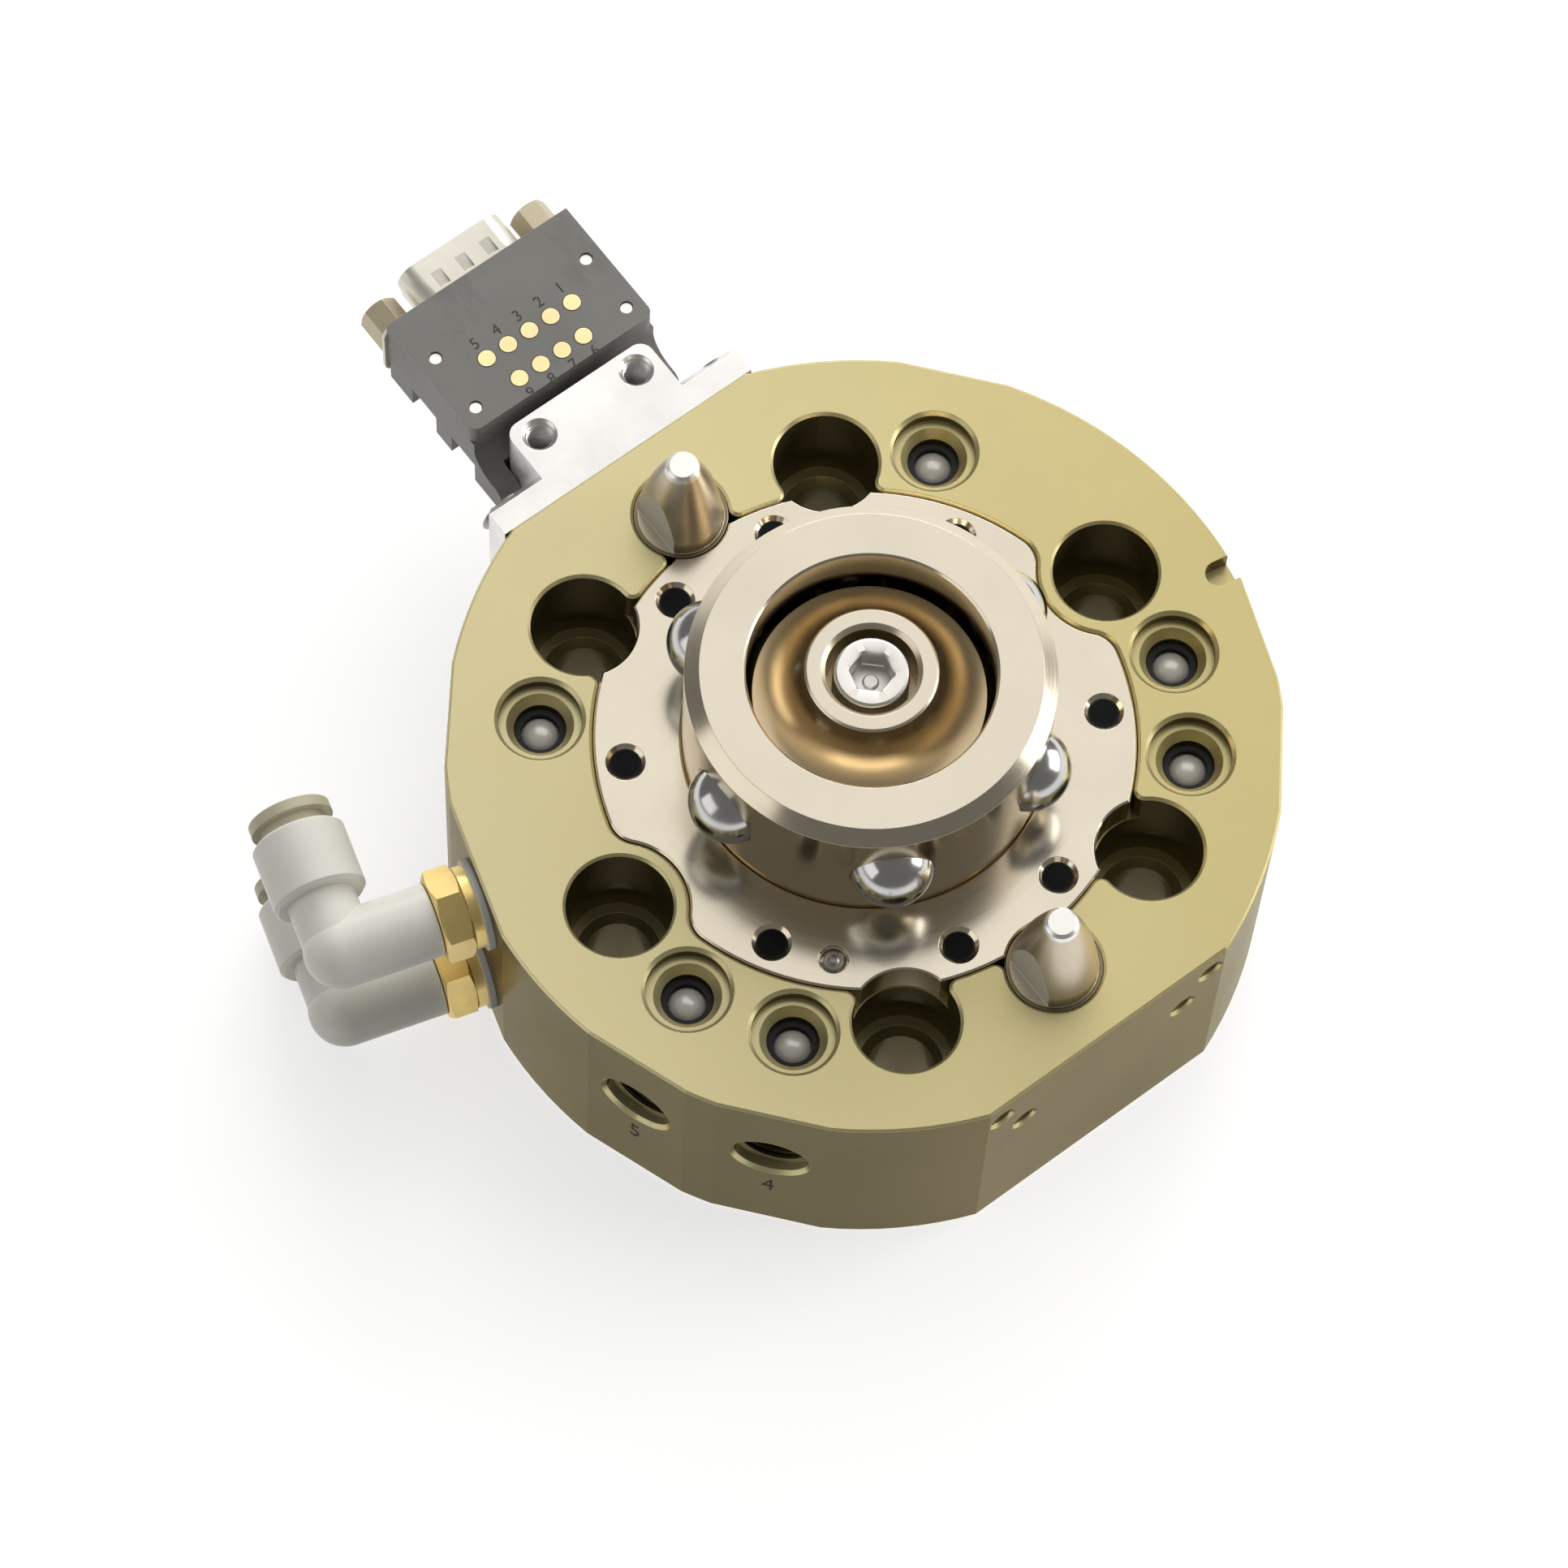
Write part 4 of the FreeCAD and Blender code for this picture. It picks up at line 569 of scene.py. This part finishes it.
def add_ring(builder, radius, height, count, place):
    """Vertices round the Z axis; the radius may depend on the angle."""
    ring = []
    for step in range(count):
        angle = TURN * step / count
        reach = radius(angle) if callable(radius) else radius
        ring.append(builder.verts.new(place @ round_point(reach, angle, height)))
    return ring


def bridge(builder, lower, upper):
    """Band of faces between two closed loops of vertices."""
    for here in range(len(lower)):
        after = (here + 1) % len(lower)
        builder.faces.new((lower[here], lower[after], upper[after], upper[here]))


def close_loops(builder, loops):
    """Solid through the loops, with both ends capped."""
    for lower, upper in zip(loops, loops[1:]):
        bridge(builder, lower, upper)
    builder.faces.new(loops[0][::-1])
    builder.faces.new(loops[-1])


def add_turned(builder, rings, count, place):
    """Turned solid of rings along Z."""
    close_loops(builder, [add_ring(builder, radius, height, count, place) for radius, height in rings])


def add_annulus(builder, size, place):
    """Flat ring with a hole."""
    inner, outer, low, high = (size[key] for key in ("inner", "outer", "low", "high"))
    loops = [
        add_ring(builder, radius, height, size["count"], place)
        for radius, height in ((outer, low), (outer, high), (inner, high), (inner, low))]
    for lower, upper in zip(loops, loops[1:] + loops[:1]):
        bridge(builder, lower, upper)


def add_thread(builder, size, place):
    """Helical ridge of an internal thread along Z, fading in and out at its ends."""
    pitch = size["pitch"]
    steps = size["steps"]
    total = int((size["end"] - size["start"] - pitch) / pitch * steps)
    root = size["major"] + THREAD_ROOT_DEPTH
    sections = []
    for step in range(total + 1):
        angle = TURN * step / steps
        fade = min(1.0, THREAD_FADE * step / steps, THREAD_FADE * (total - step) / steps)
        crest = root - (root - size["minor"]) * max(fade, THREAD_LEAST)
        middle = size["start"] + pitch * (0.5 + step / steps)
        profile = (
            (root, -THREAD_ROOT_HALF), (crest, -THREAD_CREST_HALF),
            (crest, THREAD_CREST_HALF), (root, THREAD_ROOT_HALF))
        sections.append([
            builder.verts.new(place @ round_point(radius, angle, middle + shift * pitch))
            for radius, shift in profile])
    close_loops(builder, sections)


def add_threads(finishes):
    """Threads of the side ports, of the flat's holes and of the lug's holes."""
    builder = bmesh.new()
    for azimuth in SIDE_PORTS:
        mouth = polar(PORT_DISTANCE, azimuth, PORT_HEIGHT)
        inward = -polar(1.0, azimuth, 0.0)
        add_thread(builder, PORT_THREAD, axis_frame(mouth, inward))
    for side in (-1, 1):
        for across, height in FLAT_HOLES:
            add_thread(builder, FLAT_THREAD, axis_frame((side * across, FLAT_Y, height), (0, 1, 0)))
    # The body's threads take a dark colour as painted shade inside their holes
    add_piece("body_threads", builder, "root", finishes["thread_finish"])
    builder = bmesh.new()
    across, out, height = LUG_HOLE
    for side in (-1, 1):
        add_thread(builder, LUG_THREAD, axis_frame((side * across, out, height), (0, 0, -1)))
    add_piece("lug_threads", builder, "root", finishes["bracket_aluminium"])


def add_digit(builder, digit, size, place):
    """Raised figure in the local XY plane, a hair above the surface."""
    text = bpy.data.curves.new("figure", "FONT")
    text.body = digit
    text.align_x = "CENTER"
    text.align_y = "CENTER"
    text.size = FIGURE_SIZE
    text.resolution_u = 4
    text.extrude = FIGURE_DEPTH
    holder = bpy.data.objects.new("figure", text)
    mesh = bpy.data.meshes.new_from_object(holder)
    mesh.transform(place @ Matrix.Diagonal((*size, 1.0, 1.0)))
    builder.from_mesh(mesh)
    bpy.data.objects.remove(holder)
    bpy.data.meshes.remove(mesh)


def pads():
    """Number of each contact pad, its place across, its distance out and the shift of its figure."""
    for count, distance, first, shift in PAD_ROWS:
        for k in range(count):
            yield first + k, ((count - 1) / 2 - k) * PAD_PITCH, BLOCK_NEAR + distance, shift


def add_numbers(finishes):
    """Port numbers under the side ports and contact numbers beside the pads."""
    builder = bmesh.new()
    body = frame["nodes"]["master_body"]
    up = Vector((0, 0, 1))
    for azimuth, digit in SIDE_PORTS.items():
        outward = polar(1.0, azimuth, 0.0)
        start = polar(OUTSIDE_DISTANCE, azimuth, PORT_FIGURE_HEIGHT) * MM
        surface = body.ray_cast(start, -outward)[1]
        place = Matrix((up.cross(outward), up, outward)).transposed().to_4x4()
        place.translation = surface / MM
        add_digit(builder, digit, PORT_FIGURE, place)
    add_piece("port_numbers", builder, "root", finishes["port_marking"])
    builder = bmesh.new()
    for number, across, out, shift in pads():
        place = Matrix.Translation((across, out + shift, TOP))
        add_digit(builder, str(number), CONTACT_FIGURE, place)
    add_piece("contact_numbers", builder, "root", finishes["marking"])


def add_pad_rings(finishes):
    """Dark ring of painted shade in the gap round each contact pad."""
    builder = bmesh.new()
    for _, across, out, _ in pads():
        add_annulus(builder, PAD_GAP_SHADE_RING, Matrix.Translation((across, out, TOP)))
    # The pad gaps take the dark marking colour as painted shade
    add_piece("pad_gap_painted_shade", builder, "root", finishes["marking"])


def knurled(angle):
    """Radius of the screw head's side at an angle."""
    return KNURL_RADIUS - KNURL_DEPTH * (1 + math.cos(KNURL_TEETH * angle)) / 2


def hexagon(scale):
    """Radius of the socket as a function of the angle."""
    def radius(angle):
        inside = (angle - SOCKET_TURN) % (TURN / 6) - TURN / 12
        return scale * SOCKET_HALF / math.cos(inside)
    return radius


def add_cam_screw(finishes):
    """Cap screw with a knurled head and a forged socket with a round pip in its floor."""
    floor = SCREW_TOP - SOCKET_DEPTH
    shank = [(2.6, SCREW_END), (SCREW_RADIUS, SCREW_END + 0.4), (SCREW_RADIUS, SCREW_SEAT)]
    head = [
        (4.7, SCREW_SEAT), (knurled, SCREW_SEAT + 0.25), (knurled, SCREW_TOP - 0.95),
        (4.98, SCREW_TOP - 0.75), (4.92, SCREW_TOP - 0.35), (4.74, SCREW_TOP - 0.12),
        (4.45, SCREW_TOP), (3.08, SCREW_TOP)]
    socket = [
        (hexagon(1.04), SCREW_TOP - 0.1), (hexagon(1.0), SCREW_TOP - 0.3),
        (hexagon(1.0), floor + 0.1), (hexagon(0.97), floor)]
    pip = [
        (1.08, floor + 0.02), (1.0, floor + 0.1), (0.98, floor + 0.42), (0.86, floor + 0.5),
        (0.4, floor + 0.5)]
    builder = bmesh.new()
    add_turned(builder, shank + head + socket + pip, SCREW_STEPS, Matrix.Identity(4))
    finish = finishes["cam_screw_steel"]
    piece = add_piece("cap_screw", builder, "piston", finish, SCREW_SHARP)
    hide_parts("cam_screw")


def add_dowel(finishes):
    """Domed dowel with a pressed ring, staked in the plate's mouth."""
    place = Matrix.Translation(polar(*DOWEL_PLACE, 0.0))
    profile = (
        (1.6, 12.0), (1.7, 11.9), (1.7, 0.55), (1.64, 0.42), (1.45, 0.3), (1.12, 0.16),
        (1.0, 0.16), (0.9, 0.24), (0.78, 0.24), (0.62, 0.1), (0.42, 0.02), (0.2, 0.0))
    builder = bmesh.new()
    rings = [(radius, DOWEL_TOP - depth) for radius, depth in profile]
    add_turned(builder, rings, DOWEL_STEPS, place)
    finish = finishes["dowel_steel"]
    piece = add_piece("staked_dowel", builder, "root", finish, DOWEL_SHARP)
    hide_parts("plate_dowel")
    builder = bmesh.new()
    for azimuth in STAKE_AZIMUTHS:
        low = azimuth - STAKE_HALF_ANGLE
        high = azimuth + STAKE_HALF_ANGLE
        close_loops(builder, [
            [builder.verts.new(place @ polar(radius, angle, height))
             for radius, angle in ((inner, low), (outer, low), (outer, high), (inner, high))]
            for height, inner, outer in STAKE_LAYERS])
    add_piece("plate_stakes", builder, "root", finishes["nickel_steel"])


def dimple_cutter():
    """Object in the shape of the three dimples."""
    builder = bmesh.new()
    for middle in DIMPLE_MIDDLES:
        left = middle - DIMPLE_HALF_WIDTH
        right = middle + DIMPLE_HALF_WIDTH
        high = SHELL_TOP + DIMPLE_CLEAR
        corners = [
            builder.verts.new((across, out, height))
            for out, depth in DIMPLE_PROFILE
            for across in (left, right)
            for height in (SHELL_TOP - depth, high)]
        walls = [[start + index for index in wall] for start in (0, 4) for wall in DIMPLE_WALLS]
        for face in (*walls, *DIMPLE_ENDS):
            builder.faces.new([corners[index] for index in face])
    return new_object("dimples", finished_mesh("dimples", builder))


def add_dimpled_shell():
    """Connector shell with three pressed dimples in its upper wall."""
    shell = new_object("plated_shell", frame["nodes"]["connector_shell"].data.copy())
    cutter = dimple_cutter()
    cut = shell.modifiers.new("dimples", "BOOLEAN")
    cut.operation = "DIFFERENCE"
    cut.object = cutter
    cut.solver = "EXACT"
    bpy.context.view_layer.update()
    result = shell.evaluated_get(bpy.context.evaluated_depsgraph_get())
    dimpled = bpy.data.meshes.new_from_object(result)
    shell.modifiers.clear()
    shell.data = dimpled
    bpy.data.objects.remove(cutter)
    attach(shell, "root")
    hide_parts("connector_shell")


def add_valve_springs():
    """Check valve springs, each a copy with a mesh of its own, in place of its hidden node."""
    for number in range(1, CHECK_VALVES + 1):
        node = f"check_spring_{number}"
        spring = new_object(f"valve_spring_{number}", frame["nodes"][node].data.copy())
        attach(spring, "root")
        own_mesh(spring)
        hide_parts(node)


def add_details(finishes):
    """Fine relief that the solids leave out."""
    add_threads(finishes)
    add_numbers(finishes)
    add_pad_rings(finishes)
    add_cam_screw(finishes)
    add_dowel(finishes)
    add_dimpled_shell()
    add_valve_springs()


# Studio: lamps by place and size in metres, power in watts and colour, all aimed at one point
LAMP_TARGET = Vector((0, 0, 0.03))
LAMPS = {
    "tent": ((0.60, 0.54, 1.08), (1.45, 1.45), 6.9, (1.0, 0.985, 0.95)),
    "left": ((-1.25, 0.35, 0.55), (1.1, 0.8), 3.0, (1.0, 0.99, 0.97)),
    "right": ((1.30, -0.62, 0.60), (1.1, 0.8), 14.0, (1.0, 0.99, 0.97)),
    "back": ((0.95, 1.10, 0.72), (1.1, 0.7), 11.0, (1.0, 0.99, 0.97)),
}
WORLD_COLOUR = (1.0, 0.98, 0.95, 1.0)
WORLD_STRENGTH = 0.2
FLOOR_SIZE = 6.0
FLOOR_DROP = 0.00005
FLOOR_COLOUR = (0.45, 0.445, 0.43, 1.0)
BACKGROUND_LIT = (0.6, 0.6, 0.6, 1.0)
BACKGROUND_GLOW = 0.66


def add_light(name, place, size, power, tint):
    """Soft rectangular lamp aimed at the part."""
    data = bpy.data.lights.new(name, "AREA")
    data.shape = "RECTANGLE"
    data.size, data.size_y = size
    data.energy = power
    data.color = tint
    lamp = new_object(name, data)
    lamp.location = place
    lamp.rotation_euler = (LAMP_TARGET - Vector(place)).to_track_quat("-Z", "Y").to_euler()


def add_floor():
    """Plain pale floor; the camera and the shiny pieces see it as white with the object's shadow."""
    bpy.ops.mesh.primitive_plane_add(size=FLOOR_SIZE, location=(0, 0, -FLOOR_DROP))
    floor = bpy.context.object
    floor.name = "floor"
    s = Shader("pale_floor")
    s.set(Base_Color=FLOOR_COLOUR, Roughness=1.0, Specular_IOR_Level=0.0)
    lit = s.node("ShaderNodeBsdfDiffuse", Color=BACKGROUND_LIT)
    glow = s.node("ShaderNodeEmission", Strength=BACKGROUND_GLOW)
    white = s.node("ShaderNodeAddShader")
    s.fill(white.inputs, (lit.outputs[0], glow.outputs[0]))
    rays = s.node("ShaderNodeLightPath").outputs
    mirrored = s.math("MAXIMUM", rays["Is Glossy Ray"], rays["Is Transmission Ray"])
    seen = s.math("MAXIMUM", rays["Is Camera Ray"], mirrored)
    both = s.node("ShaderNodeMixShader")
    s.fill(both.inputs, (seen, s.surface.outputs[0], white.outputs[0]))
    s.link(both.outputs[0], s.output.inputs["Surface"])
    floor.data.materials.append(s.material)


def add_studio():
    """Soft tent light from above, with weaker lamps round the part and a dim room."""
    scene = bpy.context.scene
    scene.view_settings.view_transform = "Standard"
    for name, (place, size, power, tint) in LAMPS.items():
        add_light(name, place, size, power, tint)
    world = bpy.data.worlds.new("surround")
    world.use_nodes = True
    background = world.node_tree.nodes["Background"]
    background.inputs["Color"].default_value = WORLD_COLOUR
    background.inputs["Strength"].default_value = WORLD_STRENGTH
    scene.world = world
    add_floor()


add_camera()
add_details(assign_materials())
add_studio()
